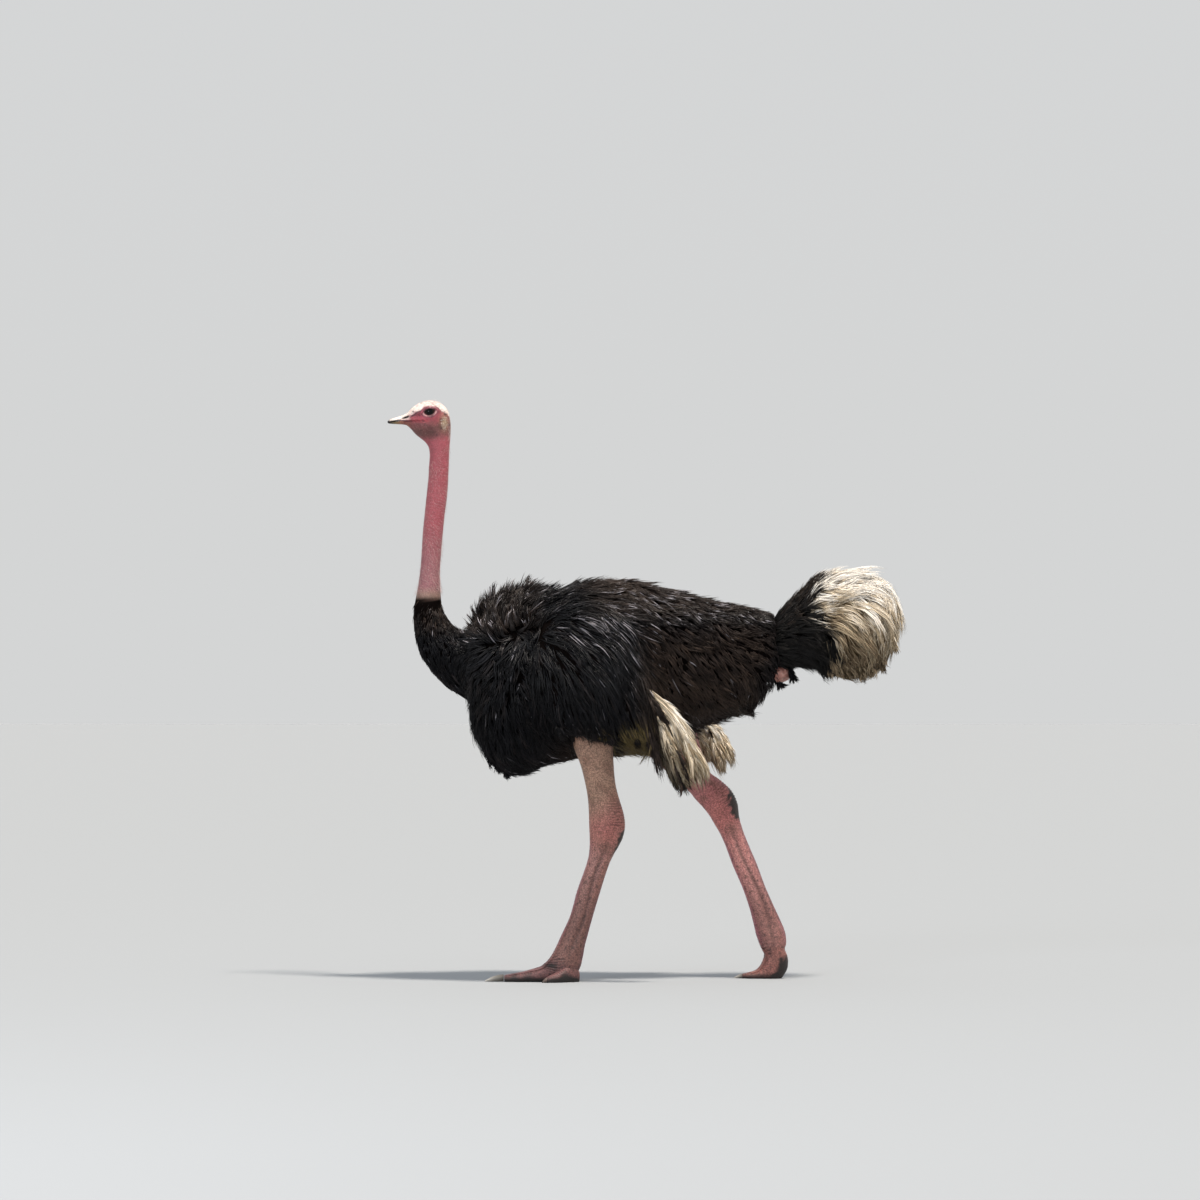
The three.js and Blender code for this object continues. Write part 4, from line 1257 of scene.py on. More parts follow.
def plume_pale(points, jitter, lock):
    """Cream nearly all through, olive brown at the ragged ends and along the inner edge."""
    x, z = points[..., 0], points[..., 2]
    edge = np.interp(z, [690, 760, 840, 930], [148, 114, 80, 42])
    fringe = smooth(30, -8, x + (lock - 0.5) * 30 - edge)
    return 1.0 - 0.75 * smooth(730, 682, z + (lock - 0.5) * 56) - 0.72 * fringe * smooth(930, 880, z)


def plume_light(points, jitter, lock):
    """Painted light and shade: brightest along the rear edge and the shoulder of the plume, where the
    sun falls, tan in front and darker at the lower end as painted shade.
    """
    x, z = points[..., 0], points[..., 2]
    rear = x - np.interp(z, [700, 800, 900, 1040], [180, 160, 120, 10])
    base = 0.34 + 0.2 * smooth(-40, 40, rear) + 0.3 * smooth(800, 930, z)
    base -= 0.16 * smooth(760, 690, z)
    return np.clip(base + 0.5 * (lock - 0.5) + 0.2 * (jitter - 0.5), 0, 1)


WHITE_PAINT = {"shade": plume_light, "pale": plume_pale}
for side, white, black, barbs in (("left", LEFT_WHITES, LEFT_BLACKS, 205),
                                  ("right", RIGHT_WHITES, RIGHT_BLACKS, 160)):
    k = SIDES[side]
    coat.append(hang(f"white_plumes_{side}", white, k, barbs, pale_plumage, children=5, steps=4,
                     width=3.6, spread=5, paint=WHITE_PAINT))
    coat.append(hang(f"black_plumes_{side}", black, k, 64, black_plumage, children=5, steps=4,
                     width=3.4, spread=3, paint={"glint": glint, "gloss": gloss, "rust": rust}))

for side, k in SIDES.items():
    coat.append(hang(f"vent_tufts_{side}", VENT_TUFTS, k, 30, black_plumage, children=3, steps=3,
                     width=3.0, spread=3, paint=BLACK_PAINT))
    coat.append(hang(f"breast_tips_{side}", BREAST_TIPS, k, 24, black_plumage, children=3, steps=3,
                     width=3.4, spread=3, paint=BLACK_PAINT))
    coat.append(hang(f"tail_tips_{side}", TAIL_TIPS, k, 30, pale_plumage, children=4, steps=4,
                     width=3.4, spread=4, paint=TAIL_PAINT))

# -------- plumage: over the thighs
THIGH_GUIDES = Guides([
    [-180, 920, 0.25, -0.97, 56, 0.2],
    [-60, 900, 0.3, -0.95, 66, 0.2],
    [60, 900, 0.2, -0.98, 56, 0.2],
    [200, 900, 0.2, -0.98, 60, 0.2],
])
HEM_Z = 915                       # height of the coat's ragged edge on the thighs


def at_the_hem(roots):
    return np.abs(roots[:, 2] - HEM_Z - 10 * drift(roots, 40, 62)) < 26


for side, sweep in leg_sweeps.items():
    thigh_surface = Surface([sweep_body("outer_thigh", sweep, 12, 48)])
    coat.append(grow(f"thigh_fringe_{side}", thigh_surface, sweep, THIGH_GUIDES, 520, (0, 3.4),
                     keep=at_the_hem, steps=3, depth=4, top=14, children=5, spread=8, width=3.6,
                     gather=0.8, stray=6, unruly=1.4))

# -------- down of the head and neck
DOWN_GUIDES = Guides([
    [-868, 2036, 0.9, 0.45, 5, 0.25],
    [-830, 2060, 0.85, 0.5, 7, 0.4],
    [-800, 2082, 0.9, 0.3, 9, 0.55],
    [-770, 2088, 1.0, 0.15, 11, 0.65],
    [-735, 2075, 0.9, -0.4, 10, 0.5],
    [-705, 2035, 0.35, -0.95, 10, 0.45],
    [-700, 1980, 0.15, -1, 10, 0.4],
    [-722, 2008, 0.6, -0.8, 8, 0.45],
    [-760, 2040, 0.9, -0.3, 4, 0.3],
    [-790, 1990, 0.6, -0.8, 6, 0.35],
    [-770, 1900, 0.5, -0.9, 8, 0.4],
    [-704, 1900, 0.5, -0.9, 11, 0.5],
    [-745, 1700, 0.55, -0.85, 12, 0.45],
    [-765, 1500, 0.5, -0.9, 15, 0.45],
    [-775, 1400, 0.3, -0.95, 22, 0.4],
])
pale_down = bpy.data.materials.new("fine pale down")
head_surface = Surface([sweep_body("outer_head", axis_sweep, neck_spacing, 96, head_relief)])


def down(name, count, t_range, keep, children, width, spread, stretch=1.0, paint=None, stray=1.5,
         lift=1.0):
    """Fine down: single short hairs, root to tip over the bare skin."""
    return grow(name, head_surface, axis_sweep, DOWN_GUIDES, count, t_range, keep=keep, steps=2,
                depth=0.8, stretch=stretch, top=40, children=children, spread=spread, width=width,
                gather=0.3, stray=stray, lift=lift, material=pale_down, paint=paint)


def capped(roots):
    """Where the crown, nape and ear wear a thick cap of down."""
    x, z = roots[:, 0], roots[:, 2]
    ear = blot(x, z, -722, 2008, 13, 24) > 0.35
    nape = (x > -708) & (z > 1950)
    return ((z > cap_edge(x) - 1) | ear | nape) & (lid_distance(x, z) > 1.9)


def on_crown(roots):
    return (roots[:, 2] > 2074) & (np.abs(roots[:, 0] + 775) < 32)


def on_neck(roots):
    return roots[:, 2] < 1960


def on_face(roots):
    """Cheeks and throat, clear of lids, nostrils, gape and cap."""
    x, z = roots[:, 0], roots[:, 2]
    clear = (lid_distance(x, z) > 2.0) & (nostril_slot(x, z, 6) < 0.2) & (x > -850)
    return clear & ~capped(roots) & (np.abs(z - 2013) > 5) & (z > 1900)


def rosy(amount):
    """How far the red skin tints the down, differing from hair to hair."""
    return lambda points, jitter, lock: np.full(points.shape[:2], amount) * (0.7 + 0.6 * jitter)


coat += [
    down("cap_down", 5200, (0.5, 11.5), capped, 2, 0.6, 1.8, stretch=1.1, lift=0.4,
         paint={"rose": rosy(0.08)}),
    down("crown_wisps", 800, (3, 9), on_crown, 1, 0.5, 2.0, stretch=1.5, lift=1.25,
         paint={"rose": rosy(0.05)}, stray=3),
    down("face_down", 1100, (1.5, 13), on_face, 1, 0.5, 1.0, paint={"rose": rosy(0.85)}),
    down("neck_down", 3000, (11.5, 19.6), on_neck, 1, 0.65, 2.0, paint={"rose": rosy(0.5)},
         stray=2.5),
]


def lashes(name, side, count=30):
    """Stiff dark lashes along the upper lid."""
    q = np.radians(np.linspace(12, 168, count) + rng.normal(0, 3, count))
    u, v = np.cos(q) * LID_HALF[0] * 1.06, np.sin(q) * LID_HALF[1] * 1.1
    root = over_eyeball(u, v, 1.5, side)
    heading = unit(np.stack([0.5 * (root[:, 0] - EYE[0]) / LID_HALF[0], np.full(count, side * 0.8),
                             np.full(count, -0.12)], 1))
    s = np.linspace(0, 1, 5)[None, :, None]
    size = (5 + 4 * np.sin(q))[:, None, None] * rng.uniform(0.7, 1.15, (count, 1, 1))
    path = root[:, None] + size * (heading[:, None] * s + np.array([0, 0, 0.45]) * s ** 2)
    across = np.tile(np.array([1.0, 0, 0]), (count, 5, 1))
    up = np.tile(np.array([0, 0, 1.0]), (count, 5, 1))
    chart = np.stack([np.linspace(0.2, 0.3, count) + 0.4 * (side > 0), np.full(count, 0.16)], 1)
    piece = strand_mesh(name, path, across, up, np.full(count, 0.6), chart,
                        {"shade": per_vertex(path, np.full((count, 5), 0.3))}, 0.9)
    piece.data.materials.append(black_plumage)
    return piece


coat += [lashes(f"lashes_{side}", k) for side, k in SIDES.items()]

for piece in coat:
    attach(piece, "root")

# -------- materials
def add_node(tree, kind, settings=(), **links):
    """Adds a node, sets its properties, and fills or links its inputs by name, or by place as i0.

    The setting `stops` fills a colour ramp with (position, hex) pairs.
    """
    node = tree.nodes.new(kind)
    for key, value in dict(settings).items():
        if key == "stops":
            set_stops(node.color_ramp.elements, value)
        else:
            setattr(node, key, value)
    for key, value in links.items():
        by_place = key[0] == "i" and key[1:].isdigit()
        socket = node.inputs[int(key[1:]) if by_place else key]
        if isinstance(value, bpy.types.NodeSocket):
            tree.links.new(value, socket)
        else:
            socket.default_value = value
    return node


def set_stops(elements, stops):
    """Gives a new ramp its colours: the two ends it has, then those between."""
    for element, (position, code) in zip(elements, (stops[0], stops[-1])):
        element.position, element.color = position, srgb(code)
    for position, code in stops[1:-1]:
        elements.new(position).color = srgb(code)


def open_material(material, *names):
    """A material's tree and shader, and each named value that is stored on its pieces."""
    material.use_nodes = True
    tree = material.node_tree
    stored = [add_node(tree, "ShaderNodeAttribute", {"attribute_name": name}).outputs["Fac"]
              for name in names]
    return tree, tree.nodes["Principled BSDF"], *stored


RGBA = {"data_type": "RGBA"}
OVERLAY = {"data_type": "RGBA", "blend_type": "OVERLAY"}
MULTIPLY = {"data_type": "RGBA", "blend_type": "MULTIPLY"}

# Body feathers of an ostrich cock: soft loose barbs, dyed through with melanin.  The eye gets a
# blue-black with a faint sheen on wing and mantle, dull brown where it is worn, painted sheen on
# the top of the back, and painted pale glints where a lock would catch the sun.
tree, shader, shade, gloss_value = open_material(black_plumage, "shade", "gloss")
black = add_node(tree, "ShaderNodeValToRGB", {"stops": [
    (0, "#08080a"), (0.6, "#111114"), (0.88, "#1b1b1f"), (1, "#2b292c")]},
    i0=shade).outputs["Color"]
# the base colour takes the painted sheen and the painted glints here, with the brown, olive and tan
for name, code in (("rust", "#3a302a"), ("olive", "#65583a"), ("tan", "#8a705a"), ("glint", "#b2adb3")):
    amount = add_node(tree, "ShaderNodeAttribute", {"attribute_name": name}).outputs["Fac"]
    black = add_node(tree, "ShaderNodeMix", RGBA, i0=amount, i6=black, i7=srgb(code)).outputs[2]
tree.links.new(black, shader.inputs["Base Color"])
tree.links.new(gloss_value, shader.inputs["Specular IOR Level"])
shader.inputs["Roughness"].default_value = 0.42

# Plumes of wing and tail: barbs of keratin without dye, so a matt cream, painted white on top and
# tan and olive brown below as painted light and shade, partly stained at the lower edges; the tail's
# root is black.
tree, shader, shade, pale = open_material(pale_plumage, "shade", "pale")
dark = add_node(tree, "ShaderNodeValToRGB", {"stops": [
    (0, "#0a0908"), (0.75, "#14100e"), (1, "#2b211a")]}, i0=shade)
light = add_node(tree, "ShaderNodeValToRGB", {"stops": [
    (0, "#4a3d29"), (0.22, "#85725a"), (0.5, "#b5a387"), (0.75, "#dccdb6"), (1, "#fbf5ec")]},
    i0=shade)
blend = add_node(tree, "ShaderNodeMix", RGBA, i0=pale, i6=dark.outputs["Color"],
                 i7=light.outputs["Color"])
tree.links.new(blend.outputs[2], shader.inputs["Base Color"])
shader.inputs["Roughness"].default_value = 0.6
shader.inputs["Specular IOR Level"].default_value = 0.25

# Down of head and neck: hair-fine feathers of white keratin, drawn about 0.6 mm thick so that
# they show.  The eye gets a matt white fuzz, flushed pink by the skin between the hairs.
tree, shader, shade, rose = open_material(pale_down, "shade", "rose")
white = add_node(tree, "ShaderNodeValToRGB", {"stops": [(0, "#cdbdb0"), (1, "#f6f0ea")]},
                 i0=shade)
flushed = add_node(tree, "ShaderNodeMix", RGBA, i0=rose, i6=white.outputs["Color"],
                   i7=srgb("#a86468"))
tree.links.new(flushed.outputs[2], shader.inputs["Base Color"])
shader.inputs["Roughness"].default_value = 0.6

skin_material = bpy.data.materials.new("bare scaled skin")
skin.data.materials.clear()
skin.data.materials.append(skin_material)


def leg_place(points, rows):
    """Place on a leg: the station down it, the distance down it in mm, and the place across
    it in side view, from -1 at the front to 1 at the back."""
    rows = np.array(rows, float)
    mid = (rows[:, 0:2] + rows[:, 2:4]) / 2
    back = (rows[:, 0:2] - rows[:, 2:4]) / 2
    step = np.diff(mid, axis=0)
    size = np.linalg.norm(step, axis=1)
    offset = points[:, None, [0, 2]] - mid[None, :-1]
    f = np.clip(np.sum(offset * step, 2) / size ** 2, 0, 1)
    gap = np.linalg.norm(offset - f[..., None] * step, axis=2)
    best = gap.argmin(1)
    i = np.arange(len(points))
    f = f[i, best]
    reach = back[best] + (back[best + 1] - back[best]) * f[:, None]
    off = offset[i, best] - f[:, None] * step[best]
    run = np.concatenate([[0], np.cumsum(size)])[best] + f * size[best]
    return best + f, run, np.sum(off * reach, 1) / np.sum(reach ** 2, 1)


def on_vent(points):
    """True on the bare cone of the vent, a little past its own surface."""
    return np.linalg.norm((points - VENT) / VENT_SIZE, axis=1) < 1.06


def paint(colour, layers):
    """Lays colours over each point's own, in turn: a layer is a hex code and its amount, 0 to 1."""
    for code, amount in layers:
        colour = mix(colour, np.array(srgb(code)), np.clip(amount, 0, 1)[:, None])
    return colour


def skin_tone(p):
    """The colour of the bare skin by body region."""
    x, y, z = p.T
    head = smooth(1935, 1975, z)
    jowl = head * smooth(2016, 2006, z) * smooth(-850, -835, x)
    streak = np.sin((z - 0.35 * x) * 0.95) > 0.45
    blotch = np.sin(x * 0.33) * np.sin(z * 0.29 + 1) + 0.7 * np.sin(x * 0.71 + z * 0.5)
    cap = smooth(-4, 5, z - cap_edge(x) + 3 * drift(p, 14, 21)) * head
    gape_z = MOUTH_Z - GAPE_SAG * np.clip(x - GAPE_BEND_X, 0, None) ** 2
    gape = blot(x, z, -820, 0, 40, 1e9) * np.exp(-((z - gape_z) / 4.5) ** 2) * (x < -778)
    slit = smooth(-832, -842, x) * np.exp(-((z - gape_z + 1) / 1.9) ** 2)
    groove = smooth(-784, -796, x) * np.exp(-((z - gape_z + 1) / 1.3) ** 2)
    rho = lid_distance(x, z)
    upper = z > EYE[2] + (x - EYE[0]) * math.tan(LID_TILT)
    ring = smooth(2.1, 1.7, rho) * head
    colour = np.tile(np.array(srgb("#b95b65")), (len(p), 1))
    colour = paint(colour, [
        # neck: rose, paler and browner towards the feathers
        ("#a97176", smooth(1680, 1440, z) * 0.9),
        ("#9a8270", smooth(1425, 1385, z) * 0.8),
        # head: cap of pale fuzz over a red face, brownish cheek and throat
        ("#7d4a47", head * 0.9),
        ("#5f3a34", head * smooth(2004, 1962, z) * smooth(-730, -775, x) * 0.85),
        ("#ab4656", head * blot(x, z, -800, 2030, 66, 22)),
        ("#7e2a38", head * blot(x, z, -818, 2036, 26, 7) * 0.7),
        ("#96404a", head * blot(x, z, -745, 2030, 18, 20) * 0.8),
        ("#573531", jowl * smooth(0.2, 1.1, drift(p, 8, 23)) * 0.6),
        ("#a67670", jowl * smooth(0.4, 1.2, drift(p, 6, 24)) * 0.45),
        ("#4c1a22", head * blot(x, z, -822, 2036, 26, 11) * streak * 0.9),
        ("#6a3238", head * smooth(0.5, 1.2, blotch) * blot(x, z, -765, 1985, 60, 44) * 0.6),
        ("#c48f93", smooth(-12, 0, z - cap_edge(x)) * head * smooth(-775, -795, x) * 0.7),
        ("#e6d8d2", cap),
        ("#cfa8a2", cap * smooth(0.5, 1.2, drift(p, 17, 22)) * 0.4),
        ("#d9b8b3", smooth(-840, -852, x) * smooth(2015, 2019, z)),
        ("#e2d2cb", smooth(-850, -866, x) * smooth(2016, 2018, z)),
        ("#e2d2cb", smooth(-836, -850, x) * smooth(4, 9, z - NOSTRIL[1] - 0.3 * (x + 861))),
        # painted shade in the crease from the nostril to the eye
        ("#54222e", brow_crease(x, z) * head * 0.85),
        ("#ab9474", head * blot(x, z, -722, 2008, 13, 25) * 0.9),
        # painted shade in the hollow of the ear
        ("#5a3a30", head * blot(x, z, -735, 2000, 7, 20) * 0.6),
        ("#96584a", smooth(-838, -852, x) * smooth(2014, 2010, z)),
        ("#b23a42", gape * 0.9),
        # painted shade in the slit of the mouth and along the groove of the gape
        ("#160a0c", slit * head),
        ("#6a1f2a", groove * head * 0.9),
        # painted shade in the nostril
        ("#0c0707", nostril_slot(x, z, 2.7) * 1.4),
        *[("#31181a", 0.9 * blot(x, z, cx, cz, r, r)) for cx, cz, r in FACE_SPOTS],
        # lids: magenta above, with painted shade in the folds above and below the eye and under the
        # upper lid's edge, a pale rim below, and painted shade at the very edge against the eyeball
        ("#9a4656", ring * 0.8),
        ("#4d1d28", np.exp(-((rho - 1.38) / 0.09) ** 2) * upper * head * 0.95),
        ("#5a2430", np.exp(-((rho - 1.9) / 0.08) ** 2) * upper * head * 0.8),
        ("#4a1d26", np.exp(-((rho - 1.62) / 0.1) ** 2) * ~upper * head * 0.85),
        ("#cfa6a2", np.exp(-((rho - 1.25) / 0.15) ** 2) * ~upper * head),
        ("#33141a", smooth(1.25, 1.12, rho) * upper * head * 0.95),
        ("#1c0e0e", smooth(1.05, 0.99, rho) * head),
    ])
    for side, look in LEG_LOOKS.items():
        here = (z < 1000) & (y * SIDES[side] > 30) & (x > -620)
        colour[here] = leg_tone(p[here], colour[here], **look)
    vent = on_vent(p)
    return paint(colour, [
        ("#a87468", vent * 1.0),
        ("#6e453d", vent * smooth(0.0, 1.0, drift(p, 20, 53)) * 0.7),
        ("#c79a8e", vent * smooth(0.3, 1.0, drift(p, 14, 54)) * 0.6),
    ])


def leg_tone(p, colour, rows, joint, drumstick, ankle, shin, shin_back, low, foot, callus):
    """Paints one leg.

    `joint` is the ankle's station. `callus` is the worn patch behind it: its first and last
    station, and its forward edge from -1 at the front of the leg to 1 at the back.
    """
    narrow, ball = NARROW_STATION, BALL_STATION
    station, run, f = leg_place(p, rows)
    folded, wave = ankle_folds(station, run, f, joint)
    shin_amount = smooth(joint + 0.8, narrow, station)
    groove = np.exp(-((f - 0.12 - 0.1 * np.sin(run / 60)) / 0.14) ** 2)
    above_foot = shin_amount * smooth(ball, ball - 3, station)
    first, last, inner = callus
    across = np.arccos(np.clip(f, -1, 1)) / math.acos(inner)
    down = 2 * (station - first) / (last - first) - 1
    worn = smooth(1.12, 0.86, np.sqrt(across ** 2 + np.abs(down) ** 3) + 0.12 * drift(p, 18, 41))
    specks = smooth(0.9, 1.3, drift(p, 16, 13)) * smooth(joint + 1, narrow, station)
    creases = smooth(0.35, 0.9, drift(p * [1, 1, 2.2], 22, 17))
    creases *= smooth(ball - 2.2, ball - 0.8, station) * smooth(ball + 3, ball, station)
    x, y, z = p.T
    sole = smooth(26, 8, z)
    heel = smooth(0.1, 0.4, f) * smooth(ball - 0.6, ball + 0.2, station)
    heel *= smooth(98, 66, z + 6 * drift(p, 20, 43))
    joints = (z < 34) * (blot(x, 0, -420, 0, 14, 1) + blot(x, 0, -470, 0, 12, 1)) * 0.5
    cleft = blot(x, z, -338, 60, 30, 10) * (np.abs(y) > 80) + joints
    return paint(colour, [
        (drumstick, np.ones(len(p))),
        ("#86604f", 0.55 * smooth(0.3, 1.2, drift(p, 60, 11))),
        (ankle, smooth(joint - 3.0, joint - 0.2, station + 0.5 * f) * 0.85),
        ("#b8625f", blot(station, f, joint + 0.3, 0.1, 0.8, 0.5) * 0.35),
        # painted shade in the folds behind the ankle
        ("#74403c", folded * smooth(0.1, 0.9, -wave) * 0.7),
        (shin, shin_amount),
        # the back of the shin: painted shade on the left leg, a painted highlight on the right
        (shin_back, shin_amount * smooth(0.0, 0.7, f) * 0.8),
        (low, smooth(narrow, ball - 3.5, station) * 0.85),
        # painted shade in the groove down the shank
        ("#5f3f38", shin_amount * groove * smooth(ball + 1, ball - 3, station) * 0.6),
        ("#a55f70", above_foot * smooth(-0.55, -0.95, f) * 0.7),
        ("#a55f70", above_foot * smooth(0.6, 0.95, f) * 0.5),
        ("#6b4a3c", blot(station, f, joint + 1.7, 0.1, 0.5, 0.5) * 0.6),
        ("#2b251e", worn * 0.96),
        (foot, smooth(ball - 1.5, ball, station)),
        ("#3a2522", specks * 0.55),
        ("#3f2522", creases * smooth(0.3, -0.5, f) * 0.7),
        # near-black painted shade under the sole, round the heel, between the toes and under the big
        # toe's joints
        ("#15100d", np.clip(heel + sole * 0.8 + cleft, 0, 1) * 0.96),
    ])


# The right leg's colours are all lighter than the left's: painted light where the sun falls on it, with
# a painted highlight down the back of its shin.
LEG_LOOKS = {
    "left": dict(rows=FRONT_LEG, joint=ANKLE_STATION["left"], drumstick="#b8917a",
                 ankle="#c47e74", shin="#c49086", shin_back="#b0786a", low="#7c564e",
                 foot="#7a5150", callus=(7.2, 9.8, 0.66)),
    "right": dict(rows=REAR_LEG, joint=ANKLE_STATION["right"], drumstick="#cb8280",
                  ankle="#d68880", shin="#d99a92", shin_back="#e0a098", low="#97665e",
                  foot="#a0685e", callus=(5.9, 8.3, 0.44)),
}
# Dark spots on the face: x, z and radius.
FACE_SPOTS = [(-834, 2048, 3.5), (-806, 2079, 3), (-806, 1980, 3), (-733, 1987, 3.2),
              (-749, 1963, 2.6), (-719, 2038, 4), (-705, 1999, 3)]

THIGH_SKIN_Z = 908                # the thighs are bare below this
LEG_SKIN_Z = (960, 900)           # the skin turns from smooth to coarsely scaled between these
SCALES_PER_METRE = {"neck": 400.0, "leg": 290.0}    # cells 2.5 mm across, and 3.4 mm

points = read_points(skin)
x, y, z = points.T
under_feathers = np.maximum(smooth(1388, 1368, z) * (x < -620), (x > -672) * (z > 735) * 1.0)
thigh = (np.abs(y) > 84) & (np.abs(y) < 222) & (z > 700) & (x > -290) & (x < 340)
thigh &= z < THIGH_SKIN_Z + 9 * drift(points, 22, 61)
under_feathers = np.where(thigh | on_vent(points), 0, under_feathers)
colours = skin_tone(points)
# painted shade under the coat, for the gaps between the feathers: near black under the black feathers,
# tan under the cream plumes of the tail
colours = mix(colours, np.array(srgb("#120e0d")), under_feathers[:, None])
colours = mix(colours, np.array(srgb("#7a664a")), smooth(0, 30, x - tail_edge(z))[:, None])
add_attribute(skin, "tone", colours, "FLOAT_COLOR")
neck = x < -620
on_legs = smooth(*LEG_SKIN_Z, z) * ~neck
add_attribute(skin, "rough", on_legs * 0.75 + 0.3 * neck)
add_attribute(skin, "scaly", 0.6 * on_legs + (0.08 + 0.42 * smooth(1975, 1900, z)) * neck)
add_attribute(skin, "scales_per_metre",
              np.where(neck, SCALES_PER_METRE["neck"], SCALES_PER_METRE["leg"]))
add_attribute(skin, "bare", 0.5 * (1 - under_feathers))

# Bare ostrich skin: thin, dry and finely scaled, with blood close under it on neck and shins.
# The eye gets pink with a soft broken sheen, duller and browner on the thighs.
tree, shader, scaly, rough, pitch, bare = open_material(
    skin_material, "scaly", "rough", "scales_per_metre", "bare")
tone = add_node(tree, "ShaderNodeAttribute", {"attribute_name": "tone"})
place = add_node(tree, "ShaderNodeTexCoord").outputs["Object"]
# the seams between scales are a little darker and lower
cells = add_node(tree, "ShaderNodeTexVoronoi", {"feature": "DISTANCE_TO_EDGE"}, Vector=place,
                 Scale=pitch)
inside = add_node(tree, "ShaderNodeMapRange", Value=cells.outputs["Distance"])
inside.inputs["From Max"].default_value = 0.16
seams = add_node(tree, "ShaderNodeMath", {"operation": "SUBTRACT", "use_clamp": True}, i0=1.0,
                 i1=inside.outputs[0])
weight = add_node(tree, "ShaderNodeMath", {"operation": "MULTIPLY"}, i0=seams.outputs[0],
                  i1=scaly)
darker = add_node(tree, "ShaderNodeMix", MULTIPLY, i0=weight.outputs[0], i6=tone.outputs["Color"],
                  i7=srgb("#7d5f58"))
# patches 17 mm across, specks of 6 mm and a grain of 2 mm
mottle = add_node(tree, "ShaderNodeTexNoise", Vector=place, Scale=60.0, Detail=5.0)
patches = add_node(tree, "ShaderNodeValToRGB", {"stops": [(0.3, "#5a5a5a"), (0.7, "#a8a8a8")]},
                   i0=mottle.outputs["Fac"])
patchy = add_node(tree, "ShaderNodeMix", OVERLAY, i0=0.35, i6=darker.outputs[2],
                  i7=patches.outputs["Color"])
speckle = add_node(tree, "ShaderNodeTexNoise", Vector=place, Scale=180.0, Detail=6.0, Roughness=0.75)
specks = add_node(tree, "ShaderNodeValToRGB", {"stops": [(0.42, "#7e7e7e"), (0.6, "#e4e4e4")]},
                  i0=speckle.outputs["Fac"])
speckled = add_node(tree, "ShaderNodeMix", OVERLAY, i0=rough, i6=patchy.outputs[2],
                    i7=specks.outputs["Color"])
tree.links.new(speckled.outputs[2], shader.inputs["Base Color"])
grain = add_node(tree, "ShaderNodeTexNoise", Vector=place, Scale=420.0, Detail=3.0)
bump_scales = add_node(tree, "ShaderNodeBump", {"invert": True}, Height=weight.outputs[0],
                       Strength=0.6, Distance=0.0007)
bump_rough = add_node(tree, "ShaderNodeBump", Height=speckle.outputs["Fac"], Distance=0.0016,
                      Strength=rough, Normal=bump_scales.outputs["Normal"])
bump_grain = add_node(tree, "ShaderNodeBump", Height=grain.outputs["Fac"], Strength=0.3,
                      Distance=0.0005, Normal=bump_rough.outputs["Normal"])
tree.links.new(bump_grain.outputs["Normal"], shader.inputs["Normal"])
shader.inputs["Roughness"].default_value = 0.5
tree.links.new(bare, shader.inputs["Specular IOR Level"])
shader.inputs["Subsurface Weight"].default_value = 0.08
shader.inputs["Subsurface Scale"].default_value = 0.004
shader.inputs["Subsurface Radius"].default_value = (1.0, 0.3, 0.2)


# -------- scutes of the shins and toes
def scute_tree():
    """Sets a shallow domed plate on each point; the points carry every plate's turn and size."""
    tree = bpy.data.node_groups.new("scutes", "GeometryNodeTree")
    tree.interface.new_socket("Geometry", in_out="INPUT", socket_type="NodeSocketGeometry")
    for name in ("Plate Length", "Plate Width", "Plate Height"):
        tree.interface.new_socket(name, in_out="INPUT", socket_type="NodeSocketFloat")
    tree.interface.new_socket("Geometry", in_out="OUTPUT", socket_type="NodeSocketGeometry")
    given = add_node(tree, "NodeGroupInput")
    plate = add_node(tree, "GeometryNodeMeshUVSphere", Segments=8, Rings=4, Radius=1.0)
    turn, grade = (
        add_node(tree, "GeometryNodeInputNamedAttribute", {"data_type": "FLOAT_VECTOR"}, Name=name)
        for name in ("turn", "grade"))
    rotation = add_node(tree, "FunctionNodeEulerToRotation", Euler=turn.outputs["Attribute"])
    shape = add_node(tree, "ShaderNodeCombineXYZ", X=given.outputs["Plate Length"],
                     Y=given.outputs["Plate Width"], Z=given.outputs["Plate Height"])
    size = add_node(tree, "ShaderNodeVectorMath", {"operation": "MULTIPLY"}, i0=shape.outputs[0],
                    i1=grade.outputs["Attribute"])
    spread = add_node(tree, "GeometryNodeInstanceOnPoints", Points=given.outputs["Geometry"],
                      Instance=plate.outputs["Mesh"], Rotation=rotation.outputs[0],
                      Scale=size.outputs[0])
    solid = add_node(tree, "GeometryNodeRealizeInstances", Geometry=spread.outputs["Instances"])
    dressed = add_node(tree, "GeometryNodeSetMaterial", Geometry=solid.outputs["Geometry"],
                       Material=skin_material)
    out = add_node(tree, "NodeGroupOutput")
    tree.links.new(dressed.outputs["Geometry"], out.inputs["Geometry"])
    return tree


